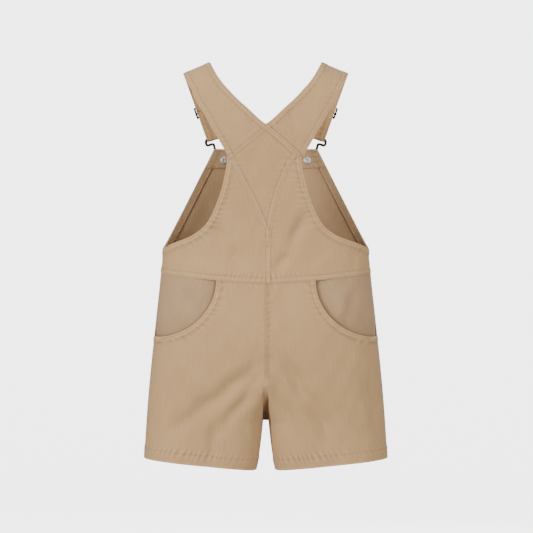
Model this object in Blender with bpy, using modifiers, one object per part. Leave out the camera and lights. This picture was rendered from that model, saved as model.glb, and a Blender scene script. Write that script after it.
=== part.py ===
"""Toddler's bib shortalls with crossed back straps, filled out as when they are worn.

Lengths are in millimetres until a mesh is made. X runs to the wearer's right, Y to the
wearer's front and Z up. The origin lies midway between the tops of the two straps.
"""
from collections import namedtuple
from math import cos, exp, hypot, pi, sin, sqrt

import bmesh
import bpy
from mathutils import Matrix, Vector

MM = 0.001

# Cloth
WALL = 1.5
SEAM_GAP = 0.3
LAYER_GAP = 0.4
HEM_WALL = 2.7
HEM_HEIGHT = 14
FACING_WALL = 1.2

# The hollow form that all the cloth lies on: a torso that splits into two legs
FORM_POWER = 2.5
INSEAM_POWER = 4
FORK_START = -398
CROTCH = -448
WAIST_CENTRE = -274
WAIST_RISE = 12
WAIST_HALF_WIDTH = 134
HEM_CENTRE = -508.5
HEM_RISE = 14
ARMHOLE_BOTTOM = -231

# Shoulders, over which the straps roll
SHOULDER_TOP = 6.4
SHOULDER_SLOPE = 0.43
NECK_HALF_WIDTH = 71
ROLL_START = -95
ROLL_POWER = 2.2

# Back
CENTRE_BACK = 3
YOKE_TIP = -227.5
TIP_STEP = 1.2
BACK_PANEL_TOP = -120
PANEL_COLUMNS = 9
ARMHOLE_ROWS = 9
LOW_ROWS = 4

# Hip pockets: a quarter ellipse out of the corner of waist seam and side seam
MOUTH_WIDTH = 79
MOUTH_DEPTH = 71
MOUTH_SIDE = 141
MOUTH_ROWS = 10
MOUTH_FOOT = -350
POCKET_MARGIN = 12
POCKET_STEP = 0.45
POCKET_GAPE = 1.4
POCKET_STEPS = 10
MOUTH_STEP = 0.2

# Legs: the rows below the crotch are placed by their drop on the inside and the outside
LEG_COLUMNS = 18
FRONT_LEG_ROWS = 6
CLEFT_ROWS = 5
SEAT_ROWS = [(-366, -362), (-382, -381)]
THIGH_ROWS = [(15, 12), (31, 25)]
HEM_STEP = 2

# Bib
BIB_TOP = -101
BIB_TOP_HALF_WIDTH = 67
BIB_FLARE = 0.5
BIB_FACING_HEIGHT = 25
BIB_COLUMNS = 20
BIB_HEM_COLUMNS = 2
FACING_COLUMNS = 16

# Straps
STRAP_WALL = 1.6
STRAP_COLUMNS = 4
STRAP_TOP_OUTER = 105
STRAP_RUN_IN = 28.5
STRAP_DROP = 81
STRAP_TWIST = 4
STRAP_LIFT = 2.5
STRAP_UNDERLAP = -2.0
TURNS = (0.74, 0.82, 0.89, 0.945, 0.985)
FRONT_PLACES = (0.015, 0.055, 0.11, 0.18, 0.27, 0.38, 0.5, 0.62, 0.74, 0.86, 1)
TURN_ROWS = 6
DOUBLED_ROWS = 4
DOUBLED_BACK = 0.42

# Buckles, sliders, buttons and rivets
WIRE_RADIUS = 1.1
WIRE_STAND = 0.35
BAR_CLEARANCE = 0.3
BUTTON_OUT = 54
BUTTON_HEIGHT = -116
BUTTON_RADIUS = 8.5
BUTTON_NECK = 2.2
RIVET_RADIUS = 5
RIVET_DEPTH = 1.8
SLIDER_PLACE = 0.58
SLIDER_HEIGHT = 14.5
SLIDER_RAIL = 1.8
SLIDER_BAR = 1.0
RAIL_CLEARANCE = 0.7

Section = namedtuple("Section", "height half_width back_depth front_depth")
BODY = [
    Section(10, 165, 50, 52),
    Section(-95, 150, 50, 52),
    Section(-150, 141, 49, 53),
    Section(-200, 134.5, 48, 54),
    Section(-231, 131, 49, 54),
    Section(-270, 134, 55, 56),
    Section(-330, 140.5, 65, 59),
    Section(-398, 147.5, 65, 58),
    Section(-448, 151.5, 58, 54),
    Section(-508, 155, 53, 51),
]

Gap = namedtuple("Gap", "height half_width")
LEG_GAP = [
    Gap(-448, 3.2),
    Gap(-462, 4.6),
    Gap(-482, 6.9),
    Gap(-497, 9.2),
    Gap(-508, 11.6),
]

Armhole = namedtuple("Armhole", "height half_width")
ARMHOLE = [
    Armhole(-115, 46),
    Armhole(-127, 47),
    Armhole(-141, 49.6),
    Armhole(-156, 53.1),
    Armhole(-170, 58),
    Armhole(-183, 63),
    Armhole(-197, 70.5),
    Armhole(-206, 78.4),
    Armhole(-215, 92),
    Armhole(-220, 105),
    Armhole(-225, 119),
    Armhole(-231, 131),
]
ARMHOLE_SHIFT = -2

# The yoke is the lower end of the left strap; left and right are x on its two slanting seams
Yoke = namedtuple("Yoke", "height left right")
YOKE = [
    Yoke(-116, -47.2, 40.5),
    Yoke(-122, -44.3, 34),
    Yoke(-133, -38.7, 28.6),
    Yoke(-150, -29.8, 21),
    Yoke(-171, -18.5, 14.6),
    Yoke(-193, -8.9, 9.3),
    Yoke(-214, -1.0, 6.8),
    Yoke(-227.5, 0.9, 6.0),
]

# Strap stations from the yoke up the back. Out is measured from the centre to the strap's
# own side, so a negative value has crossed over. Under is how deep the right strap lies
# below the left one, as a share of the full underlap.
Station = namedtuple("Station", "outer_out outer_height neck_out neck_height under")
STRAP_BACK = [
    Station(47.2, -116, -43.4, -113, 1),
    Station(52, -106.4, -25.3, -96, 1),
    Station(59.3, -94, -7.8, -81, 1),
    Station(68.5, -78, 7.5, -69.4, 1),
    Station(77.3, -62.5, 22.3, -55.4, 0.75),
    Station(84.8, -50.6, 36.6, -42.3, 0.35),
    Station(91.6, -38.3, 49.8, -27.9, 0),
]

# The last stretch up to the shoulder, by how far it has rolled over: 1 is the top
Rolled = namedtuple("Rolled", "turn outer_out neck_out")
STRAP_TOP = [
    Rolled(0.655, 91.6, 49.8),
    Rolled(0.805, 98.5, 60.6),
    Rolled(1, 105, 71),
]

# Creases of the cloth. Out and height are the ends of each crease, depth is inwards.
Fold = namedtuple("Fold", "start_x start_height end_x end_height depth width")
BACK_FOLDS = [
    Fold(-4, -372, -134, -472, 4.0, 10),
    Fold(-12, -398, -66, -470, 3.2, 8),
    Fold(-62, -446, -70, -502, 2.4, 8),
    Fold(22, -370, 70, -446, 4.0, 10),
    Fold(60, -430, 98, -498, 3.4, 10),
    Fold(10, -398, 42, -478, 3.0, 8),
    Fold(134, -390, 146, -500, 2.4, 9),
    Fold(-64, -200, -48, -232, 2.4, 8),
    Fold(-48, -232, -22, -256, 2.2, 8),
    Fold(50, -186, 28, -236, 2.8, 8),
    Fold(28, -236, 12, -262, 2.2, 7),
    Fold(96, -282, 92, -322, -1.6, 10),
    Fold(-98, -284, -86, -318, 1.8, 9),
]
FRONT_FOLDS = [
    Fold(-4, -372, -112, -446, 3.6, 11),
    Fold(-10, -396, -62, -492, 3.0, 9),
    Fold(6, -376, 104, -462, 3.6, 11),
    Fold(12, -398, 50, -500, 3.0, 9),
    Fold(-20, -300, -70, -330, 1.6, 12),
    Fold(24, -298, 76, -326, 1.6, 12),
    Fold(-30, -180, 22, -206, 1.4, 12),
]

# Colours measured as linear red, green and blue
Finish = namedtuple("Finish", "name colour roughness metallic")
CLOTH = Finish("khaki_canvas", (0.53, 0.38, 0.25), 0.9, 0.0)
LINING = Finish("khaki_canvas_inside", (0.46, 0.33, 0.21), 0.92, 0.0)
DARK_WIRE = Finish("blackened_wire", (0.035, 0.027, 0.022), 0.45, 0.8)
STEEL = Finish("tack_steel", (0.62, 0.6, 0.57), 0.35, 1.0)

BACK = -1
FRONT = 1
LEFT = -1
RIGHT = 1


def read(table, column, place):
    """A column of a table at a value of its first column, on a smooth curve."""
    rows = sorted(table, key=lambda row: row[0])
    keys = [row[0] for row in rows]
    values = [getattr(row, column) for row in rows]
    if place <= keys[0]:
        return values[0]
    if place >= keys[-1]:
        return values[-1]
    last = len(keys) - 1
    slopes = []
    for k in range(last + 1):
        low, high = max(k - 1, 0), min(k + 1, last)
        slopes.append((values[high] - values[low]) / (keys[high] - keys[low]))
    k = max(i for i in range(last) if keys[i] <= place)
    span = keys[k + 1] - keys[k]
    t = (place - keys[k]) / span
    return (
        values[k] * (1 + 2 * t) * (1 - t) ** 2
        + values[k + 1] * t * t * (3 - 2 * t)
        + slopes[k] * span * t * (1 - t) ** 2
        - slopes[k + 1] * span * t * t * (1 - t)
    )


def blend(low, high, t):
    return low + (high - low) * t


def smooth(low, high, value):
    """0 at low and before it, 1 at high and past it, and an even S curve between."""
    t = min(1.0, max(0.0, (value - low) / (high - low)))
    return t * t * (3 - 2 * t)


def oval(fraction, power=FORM_POWER):
    """Half the outline of a rounded box, from 1 in the middle to 0 at the side."""
    return max(0.0, 1 - abs(fraction) ** power) ** (1 / power)


def crest(x):
    """Height of the top of the shoulder, which slopes down from the neck."""
    return SHOULDER_TOP - SHOULDER_SLOPE * max(0.0, abs(x) - NECK_HALF_WIDTH)


def roll(x, height):
    """How much of the form's depth is left where it rolls over the shoulder."""
    turn = (height - ROLL_START) / (crest(x) - ROLL_START)
    if turn <= 0:
        return 1.0
    return max(0.0, 1 - turn ** ROLL_POWER) ** (1 / ROLL_POWER)


def fold_depth(face, x, height):
    """How far the creases press the cloth in at a point."""
    total = 0.0
    for fold in BACK_FOLDS if face == BACK else FRONT_FOLDS:
        run_x = fold.end_x - fold.start_x
        run_z = fold.end_height - fold.start_height
        length = hypot(run_x, run_z)
        along = ((x - fold.start_x) * run_x + (height - fold.start_height) * run_z) / length
        off = ((x - fold.start_x) * run_z - (height - fold.start_height) * run_x) / length
        ends = smooth(-0.2, 0.35, along / length) * smooth(-0.25, 0.75, 1 - along / length)
        total += fold.depth * ends * exp(-((off / fold.width) ** 2))
    return total


def form(face, x, height):
    """The point of the hollow form behind a place in the front or back view."""
    side = read(BODY, "half_width", height)
    depth = read(BODY, "back_depth" if face == BACK else "front_depth", height)
    torso = oval(x / side)
    if height < FORK_START:
        gap = read(LEG_GAP, "half_width", height)
        fallen = min(1.0, (FORK_START - height) / (FORK_START - CROTCH))
        middle = (side + gap) / 2
        off = (abs(x) - middle) / (side - middle)
        leg = oval(off, INSEAM_POWER if off < 0 else FORM_POWER)
        at_seam = 1 - fallen * fallen
        at_side = 1 - smooth(FORK_START, HEM_CENTRE, height)
        still = blend(at_seam, at_side, smooth(0.1, 0.55, abs(x) / side))
        reach = depth * (still * torso + (1 - still) * leg)
    else:
        reach = depth * torso * roll(x, height)
    edge = smooth(0, 22, side - abs(x))
    reach -= fold_depth(face, x, height) * edge * smooth(0, 12, reach)
    return Vector((x, face * max(reach, SEAM_GAP / 2), height))


def waist(x):
    return WAIST_CENTRE + WAIST_RISE * (abs(x) / WAIST_HALF_WIDTH) ** 1.6


def spread(count, first, last):
    """Values from first to last, closer together towards both ends."""
    return [blend(first, last, (1 - cos(pi * k / count)) / 2) for k in range(count + 1)]


def material(finish):
    made = bpy.data.materials.get(finish.name)
    if made is None:
        made = bpy.data.materials.new(finish.name)
        made.use_nodes = True
        shader = made.node_tree.nodes["Principled BSDF"]
        shader.inputs["Base Color"].default_value = (*finish.colour, 1)
        shader.inputs["Roughness"].default_value = finish.roughness
        shader.inputs["Metallic"].default_value = finish.metallic
    return made


def dress(thing, finish, angle=0.7):
    thing.data.materials.append(material(finish))
    if thing.type == "MESH":
        thing.data.shade_smooth()
        thing.data.set_sharp_from_angle(angle=angle)
    return thing


def add_object(name, data, collection):
    thing = bpy.data.objects.new(name, data)
    collection.objects.link(thing)
    return thing


def grid_faces(grid):
    """Corner indices of the cells of a grid whose four points all exist."""
    cells = []
    for r in range(len(grid) - 1):
        for c in range(len(grid[r]) - 1):
            corners = [(r, c), (r, c + 1), (r + 1, c + 1), (r + 1, c)]
            if all(grid[i][j] is not None for i, j in corners):
                cells.append(corners)
    return cells


def grid_normals(grid, cells, outward_y):
    """Outward direction at each point. The sign is set by y in the middle of the first row."""
    normals = {}
    for corners in cells:
        a, b, c, d = [grid[i][j] for i, j in corners]
        normal = (c - a).cross(d - b)
        for corner in corners:
            normals[corner] = normals.get(corner, Vector()) + normal.normalized()
    sign = 1 if normals[0, len(grid[0]) // 2].y * outward_y > 0 else -1
    return {corner: sign * normal.normalized() for corner, normal in normals.items()}


def cloth_solid(name, grid, facing, finish, collection, wall=None, seams=None, lift=None):
    """A wall of cloth from a grid of points on its outer face.

    wall gives the thickness at a cell corner, seams the axis that a corner's inner point
    must not leave (so that two pieces meet face to face), lift how far the piece stands
    off the form.
    """
    cells = grid_faces(grid)
    normals = grid_normals(grid, cells, facing)
    mesh = bmesh.new()
    outer, inner = {}, {}
    for (r, c), normal in normals.items():
        point = grid[r][c].copy()
        axis = seams(r, c) if seams else None
        if axis is not None:
            normal[axis] = 0
            normal.normalize()
        if lift:
            point += normal * lift(r, c)
        thick = wall(r, c) if wall else WALL
        outer[r, c] = mesh.verts.new(point * MM)
        inner[r, c] = mesh.verts.new((point - normal * thick) * MM)
    used = {}
    for corners in cells:
        mesh.faces.new([outer[corner] for corner in corners])
        mesh.faces.new([inner[corner] for corner in reversed(corners)])
        for k in range(4):
            edge = (corners[k], corners[(k + 1) % 4])
            if edge[::-1] in used:
                del used[edge[::-1]]
            else:
                used[edge] = True
    for start, end in used:
        mesh.faces.new([outer[end], outer[start], inner[start], inner[end]])
    bmesh.ops.recalc_face_normals(mesh, faces=mesh.faces)
    data = bpy.data.meshes.new(name)
    mesh.to_mesh(data)
    mesh.free()
    return dress(add_object(name, data, collection), finish)


def yoke_edge(side, height):
    return read(YOKE, "left" if side == LEFT else "right", height)


def back_panel(name, side, collection):
    """From the yoke's slanting seam to the armhole and the side seam, down to the waist."""
    inner, outer = [], []
    for k in range(ARMHOLE_ROWS + 1):
        t = k / ARMHOLE_ROWS
        height = blend(BACK_PANEL_TOP, YOKE_TIP, t ** 1.1)
        inner.append((yoke_edge(side, height) + side * LAYER_GAP, height))
        fall = blend(BACK_PANEL_TOP, ARMHOLE_BOTTOM, 1 - (1 - t) ** 1.75)
        shift = ARMHOLE_SHIFT * smooth(0, 20, fall - ARMHOLE_BOTTOM)
        outer.append((side * read(ARMHOLE, "half_width", fall) + shift, fall))
    centre = CENTRE_BACK + side * SEAM_GAP / 2
    for k in range(LOW_ROWS + 1):
        t = k / LOW_ROWS
        inner.append((centre, blend(YOKE_TIP - TIP_STEP, WAIST_CENTRE + SEAM_GAP / 2, t)))
        side_waist = waist(WAIST_HALF_WIDTH) + SEAM_GAP / 2
        height = blend(ARMHOLE_BOTTOM - TIP_STEP, side_waist, t)
        outer.append((side * read(BODY, "half_width", height), height))
    last = len(inner) - 1
    grid = []
    for r, (start, end) in enumerate(zip(inner, outer)):
        row = []
        for c in range(PANEL_COLUMNS + 1):
            t = sin(pi / 2 * c / PANEL_COLUMNS)
            x = blend(start[0], end[0], t)
            height = blend(start[1], end[1], t)
            if r == last:
                height = waist(x) + SEAM_GAP / 2
            row.append(form(BACK, x, height))
        grid.append(row)

    def seams(r, c):
        if r == last:
            return 2
        if c == PANEL_COLUMNS and r >= ARMHOLE_ROWS:
            return 1
        return 0 if c == 0 and r > ARMHOLE_ROWS else None

    return cloth_solid(name, grid, BACK, CLOTH, collection, seams=seams)


def leg_rows(face):
    """Inner and outer end of each row of a leg panel, from the waist seam to the hem."""
    rows = []
    if face == BACK:
        start = waist(MOUTH_SIDE - MOUTH_WIDTH)
        for k in range(MOUTH_ROWS):
            angle = pi / 2 * (1 - (1 - k / MOUTH_ROWS) ** 2)
            out = MOUTH_SIDE - MOUTH_WIDTH * cos(angle)
            height = start - MOUTH_DEPTH * sin(angle)
            inner = blend(WAIST_CENTRE, MOUTH_FOOT, (k / MOUTH_ROWS) ** 0.8)
            rows.append((inner, height, out))
        rows.append((MOUTH_FOOT, start - MOUTH_DEPTH - MOUTH_STEP, None))
        rows.extend((inner, outer, None) for inner, outer in SEAT_ROWS)
    else:
        for k in range(FRONT_LEG_ROWS):
            t = k / FRONT_LEG_ROWS
            side_waist = waist(WAIST_HALF_WIDTH)
            rows.append((blend(WAIST_CENTRE, FORK_START, t), blend(side_waist, FORK_START, t), None))
    for k in range(CLEFT_ROWS + 1):
        height = blend(FORK_START, CROTCH, sin(pi / 2 * k / CLEFT_ROWS))
        rows.append((height, height, None))
    for inner_drop, outer_drop in THIGH_ROWS:
        rows.append((CROTCH - inner_drop, CROTCH - outer_drop, None))
    for above in (HEM_HEIGHT + HEM_STEP, HEM_HEIGHT, 0):
        rows.append((HEM_CENTRE + above, HEM_CENTRE + HEM_RISE + above, None))
    return rows


def leg_panel(name, face, side, collection):
    """Half of one leg, front or back, with the crotch seam's strip as its first column."""
    rows = leg_rows(face)
    grid = []
    crotch_row = [k for k, row in enumerate(rows) if row[0] == CROTCH][0]
    for r, (inner_height, outer_height, mouth) in enumerate(rows):
        out = mouth if mouth else read(BODY, "half_width", outer_height)
        gap = read(LEG_GAP, "half_width", inner_height)
        places = spread(LEG_COLUMNS, gap, out)
        row = []
        for x in places:
            t = (x - gap) / (out - gap)
            height = blend(inner_height, outer_height, t)
            if r == 0:
                height = waist(x) - SEAM_GAP / 2
            if mouth is None and x == places[-1]:
                row.append(Vector((side * x, face * SEAM_GAP / 2, height)))
            else:
                row.append(form(face, side * x, height))
        strip = None
        if r <= crotch_row:
            strip = row[0].copy()
            strip.x = side * SEAM_GAP / 2
        grid.append([strip] + row)

    def wall(r, c):
        return HEM_WALL if r >= len(rows) - 2 else WALL

    def seams(r, c):
        if r == 0:
            return 2
        if c == 0 and r < crotch_row:
            return 0
        if c <= 1 and r >= crotch_row:
            return 1
        return 1 if c == LEG_COLUMNS + 1 and rows[r][2] is None else None

    return cloth_solid(name, grid, face, CLOTH, collection, wall, seams)


def pocket_facing(name, side, collection):
    """The hip piece behind a pocket mouth, which runs up to the waist and side seams."""
    inner_limit = MOUTH_SIDE - MOUTH_WIDTH - POCKET_MARGIN
    grid = []
    for r in range(POCKET_STEPS + 1):
        down = r / POCKET_STEPS
        row = []
        for c in range(POCKET_STEPS + 1):
            across = (c / POCKET_STEPS) ** 1.5
            width = across * sqrt(1 - down * down / 2)
            fall = down * sqrt(1 - across * across / 2)
            height = WAIST_CENTRE + 5 - (MOUTH_DEPTH + POCKET_MARGIN) * fall
            x = blend(read(BODY, "half_width", height), inner_limit, width)
            height = waist(x) - SEAM_GAP / 2 - (MOUTH_DEPTH + POCKET_MARGIN) * fall
            x = blend(read(BODY, "half_width", height), inner_limit, width)
            row.append(form(BACK, side * x, height))
        row[0] = Vector((side * read(BODY, "half_width", row[0].z), BACK * SEAM_GAP / 2, row[0].z))
        grid.append(row)

    def sink(r, c):
        edge = smooth(0, 0.5, c / POCKET_STEPS) * smooth(0, 0.5, r / POCKET_STEPS)
        return -(WALL + POCKET_STEP + POCKET_GAPE * edge)

    def seams(r, c):
        if r == 0:
            return 2
        return 1 if c == 0 else None

    return cloth_solid(name, grid, BACK, LINING, collection, seams=seams, lift=sink)


def bib_half_width(height):
    return min(
        BIB_TOP_HALF_WIDTH + BIB_FLARE * (BIB_TOP - height),
        read(BODY, "half_width", height),
    )


def bib_grid(heights, columns, whole):
    grid = []
    for r, height in enumerate(heights):
        half = bib_half_width(height)
        row = []
        for c in range(columns + 1):
            x = half * sin(pi / 2 * (2 * c / columns - 1))
            here = height
            if whole:
                near_waist = smooth(ARMHOLE_BOTTOM, WAIST_CENTRE + WAIST_RISE, height)
                here = blend(height, waist(x) + SEAM_GAP / 2 + height - heights[-1], near_waist)
            if c in (0, columns) and half >= read(BODY, "half_width", height) - 0.01:
                row.append(Vector((x, FRONT * SEAM_GAP / 2, here)))
            else:
                row.append(form(FRONT, x, here))
        grid.append(row)
    return grid


def front_bib(collection):
    """The bib down to the waist seam, with a folded hem along each side."""
    facing_foot = BIB_TOP - BIB_FACING_HEIGHT
    heights = [BIB_TOP, -109, -118, facing_foot, facing_foot - 3, -145, -163, -181]
    heights += [-199, -213, -223, ARMHOLE_BOTTOM, -241, -251, waist(WAIST_HALF_WIDTH)]
    corner = heights.index(ARMHOLE_BOTTOM)
    grid = bib_grid(heights, BIB_COLUMNS, True)

    def wall(r, c):
        hemmed = min(c, BIB_COLUMNS - c) <= BIB_HEM_COLUMNS
        return HEM_WALL if hemmed and heights[r] < facing_foot and r <= corner else WALL

    def seams(r, c):
        if r == len(heights) - 1:
            return 2
        return 1 if c in (0, BIB_COLUMNS) and r >= corner else None

    return cloth_solid("front_bib", grid, FRONT, CLOTH, collection, wall, seams)


def bib_facing(collection):
    """The strip inside the bib's top edge, which the tack buttons go through."""
    facing_foot = BIB_TOP - BIB_FACING_HEIGHT
    heights = [BIB_TOP - 0.5, -109, -118, facing_foot]
    grid = bib_grid(heights, FACING_COLUMNS, False)
    return cloth_solid(
        "bib_facing", grid, FRONT, LINING, collection,
        wall=lambda r, c: FACING_WALL,
        lift=lambda r, c: -(WALL + LAYER_GAP),
    )


def front_strap_edges(t):
    """Outer and neck edge of the strap in front, t from the shoulder to the buckle bar."""
    outer = (STRAP_TOP_OUTER - STRAP_RUN_IN * t, crest(STRAP_TOP_OUTER) - STRAP_DROP * t)
    neck = (NECK_HALF_WIDTH - STRAP_RUN_IN * t, SHOULDER_TOP - (STRAP_DROP + STRAP_TWIST) * t)
    return outer, neck


def strap_row(face, side, outer, neck):
    """Points across a strap between two edge points, given as distance out and height."""
    row = []
    for c in range(STRAP_COLUMNS + 1):
        t = c / STRAP_COLUMNS
        x = side * blend(outer[0], neck[0], t)
        row.append(form(face, x, blend(outer[1], neck[1], t)))
    return row


def turned_row(face, side, turn, outer_out, neck_out):
    """A row of the strap near the top of the shoulder, at one stage of its roll."""
    row = []
    for c in range(STRAP_COLUMNS + 1):
        x = side * blend(outer_out, neck_out, c / STRAP_COLUMNS)
        height = blend(ROLL_START, crest(x), turn)
        point = form(face, x, height)
        if turn == 1:
            point.y = 0
        row.append(point)
    return row


def front_strap_row(side, place):
    """A straight row across the strap in front, moved out to where the buckle holds it."""
    outer, neck = front_strap_edges(place)
    first = form(FRONT, side * outer[0], outer[1])
    last = form(FRONT, side * neck[0], neck[1])
    lift = Vector((0, STRAP_LIFT * smooth(0.45, 0.9, place), 0))
    return [first.lerp(last, c / STRAP_COLUMNS) + lift for c in range(STRAP_COLUMNS + 1)]


def bar_frame(side):
    """Centre, directions and turning radius of the strap's loop round the buckle bar."""
    low = front_strap_row(side, 1)
    above = front_strap_row(side, 0.9)
    across = (low[-1] - low[0]).normalized()
    along = (low[0] + low[-1] - above[0] - above[-1]).normalized()
    along = (along - across * along.dot(across)).normalized()
    out = across.cross(along)
    if out.y < 0:
        out = -out
    radius = WIRE_RADIUS + BAR_CLEARANCE + STRAP_WALL
    middle = (low[0] + low[-1]) / 2 - out * radius
    return middle, across, along, out, radius


def strap(name, side, over, collection):
    """One strap: yoke or underlap, back, shoulder, front, round the bar and up again."""
    grid, lifts = [], []
    for place in reversed(YOKE[1:]):
        ends = (place.left, place.right)
        outer, neck = ends if side == LEFT else (-place.left, -place.right)
        row = []
        for c in range(STRAP_COLUMNS + 1):
            x = blend(outer, neck, c / STRAP_COLUMNS)
            row.append(form(BACK, x, place.height))
        grid.append(row)
        lifts.append(1)
    for station in STRAP_BACK:
        outer = (station.outer_out, station.outer_height)
        neck = (station.neck_out, station.neck_height)
        grid.append(strap_row(BACK, side, outer, neck))
        lifts.append(station.under)
    for turn in TURNS:
        outer_out = read(STRAP_TOP, "outer_out", turn)
        neck_out = read(STRAP_TOP, "neck_out", turn)
        grid.append(turned_row(BACK, side, turn, outer_out, neck_out))
        lifts.append(0)
    grid.append(turned_row(FRONT, side, 1, STRAP_TOP_OUTER, NECK_HALF_WIDTH))
    lifts.append(0)
    for place in FRONT_PLACES:
        grid.append(front_strap_row(side, place))
        lifts.append(0)
    middle, across, along, out, radius = bar_frame(side)
    width = (grid[-1][-1] - grid[-1][0]).length
    for k in range(1, TURN_ROWS + 1):
        angle = pi * k / TURN_ROWS
        reach = out * cos(angle) * radius + along * sin(angle) * radius
        row = []
        for c in range(STRAP_COLUMNS + 1):
            row.append(middle + across * width * (c / STRAP_COLUMNS - 0.5) + reach)
        grid.append(row)
        lifts.append(0)
    for k in range(1, DOUBLED_ROWS + 1):
        row = front_strap_row(side, blend(1, 1 - DOUBLED_BACK, k / DOUBLED_ROWS))
        grid.append([point - out * 2 * radius for point in row])
        lifts.append(0)
    under = 0 if over else STRAP_UNDERLAP
    yoke_rows = len(YOKE) + len(STRAP_BACK) - 1
    return cloth_solid(
        name, grid, BACK, CLOTH, collection,
        wall=lambda r, c: STRAP_WALL if r >= yoke_rows - 1 else WALL,
        lift=lambda r, c: under * lifts[r],
    )


def button_seat(side):
    """Centre and outward direction of the bib where a button is fixed."""
    x = side * BUTTON_OUT
    here = form(FRONT, x, BUTTON_HEIGHT)
    step_x = form(FRONT, x + 2, BUTTON_HEIGHT) - form(FRONT, x - 2, BUTTON_HEIGHT)
    step_z = form(FRONT, x, BUTTON_HEIGHT + 2) - form(FRONT, x, BUTTON_HEIGHT - 2)
    out = step_x.cross(step_z).normalized()
    if out.y < 0:
        out = -out
    return here, out


def buckle(name, side, collection):
    """A bent wire hook: a wide bar in the strap's loop, an eye, and a slot for the button."""
    middle, across, along, out, radius = bar_frame(side)
    seat, seat_out = button_seat(side)
    stand = WIRE_RADIUS + WIRE_STAND
    foot = seat + seat_out * stand
    up = (middle - foot).normalized()
    reach = (middle - foot).length
    loop = front_strap_row(side, 1)
    half_bar = (loop[-1] - loop[0]).length / 2 + WIRE_RADIUS + 0.5
    half_outline = [
        (0, reach),
        (half_bar - 2.2, reach),
        (half_bar - 0.6, reach - 0.7),
        (half_bar, reach - 2.4),
        (half_bar, reach - 5),
        (half_bar - 0.8, reach - 6.8),
        (half_bar - 2.6, reach - 7.4),
        (12.2, reach - 7.4),
        (10.4, reach - 8.1),
        (9.7, reach - 9.9),
        (9.4, reach - 14),
        (8.2, reach - 18),
        (5.6, reach - 21.5),
        (4.1, reach - 24.5),
        (3.7, reach - 28),
        (3.7, 0),
        (3.2, -1.9),
        (1.9, -3.2),
        (0, -3.7),
    ]
    outline = half_outline + [(-u, v) for u, v in reversed(half_outline[1:-1])]
    curve = bpy.data.curves.new(name, "CURVE")
    curve.dimensions = "3D"
    curve.bevel_depth = WIRE_RADIUS * MM
    curve.bevel_resolution = 2
    curve.use_fill_caps = True
    spline = curve.splines.new("POLY")
    spline.points.add(len(outline) - 1)
    spline.use_cyclic_u = True
    for k, (u, v) in enumerate(outline):
        straight = foot + across * u + up * v
        on_bib = form(FRONT, straight.x, straight.z) + seat_out * stand
        near_bar = smooth(0.52, 0.82, v / reach)
        point = on_bib.lerp(straight, near_bar)
        spline.points[k].co = (*(point * MM), 1)
    return dress(add_object(name, curve, collection), DARK_WIRE)


def turned(name, profile, collection, finish, steps=18):
    """A turned shape from (radius, height) points, listed from the top down."""
    mesh = bmesh.new()
    points = [mesh.verts.new((radius * MM, 0, height * MM)) for radius, height in profile]
    for first, second in zip(points, points[1:]):
        mesh.edges.new((first, second))
    data = bpy.data.meshes.new(name)
    mesh.to_mesh(data)
    mesh.free()
    thing = add_object(name, data, collection)
    screw = thing.modifiers.new("Turn", "SCREW")
    screw.steps = steps
    screw.render_steps = steps
    screw.use_merge_vertices = True
    screw.merge_threshold = 0.00001
    return dress(thing, finish)


def stand_on(thing, place, out):
    thing.location = place * MM
    thing.rotation_mode = "QUATERNION"
    thing.rotation_quaternion = out.to_track_quat("Z", "Y")


def button(name, side, collection):
    """The front of a tack button: a short neck and a plain domed head."""
    seat, out = button_seat(side)
    under_head = 2 * WIRE_RADIUS + 0.9
    profile = [
        (0, under_head + 2.7),
        (BUTTON_RADIUS * 0.45, under_head + 2.4),
        (BUTTON_RADIUS * 0.8, under_head + 1.7),
        (BUTTON_RADIUS, under_head + 0.9),
        (BUTTON_RADIUS * 0.97, under_head + 0.2),
        (BUTTON_RADIUS * 0.9, under_head),
        (BUTTON_NECK, under_head),
        (BUTTON_NECK, 0),
        (0, 0),
    ]
    thing = turned(name, profile, collection, DARK_WIRE)
    stand_on(thing, seat + out * SEAM_GAP, out)
    return thing


def rivet(name, side, collection):
    """The back of the tack button, on the facing inside the bib."""
    seat, out = button_seat(side)
    profile = [
        (0, RIVET_DEPTH - 0.5),
        (RIVET_RADIUS * 0.3, RIVET_DEPTH - 0.35),
        (RIVET_RADIUS * 0.5, RIVET_DEPTH),
        (RIVET_RADIUS * 0.78, RIVET_DEPTH - 0.15),
        (RIVET_RADIUS * 0.96, RIVET_DEPTH - 0.7),
        (RIVET_RADIUS, 0.3),
        (RIVET_RADIUS * 0.95, 0),
        (0, 0),
    ]
    thing = turned(name, profile, collection, STEEL)
    depth = WALL + LAYER_GAP + FACING_WALL + SEAM_GAP + 0.1
    stand_on(thing, seat - out * depth, -out)
    return thing


def box_mesh(mesh, frame, size):
    bmesh.ops.create_cube(mesh, size=1, matrix=frame @ Matrix.Diagonal((*size, 1)))


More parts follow.
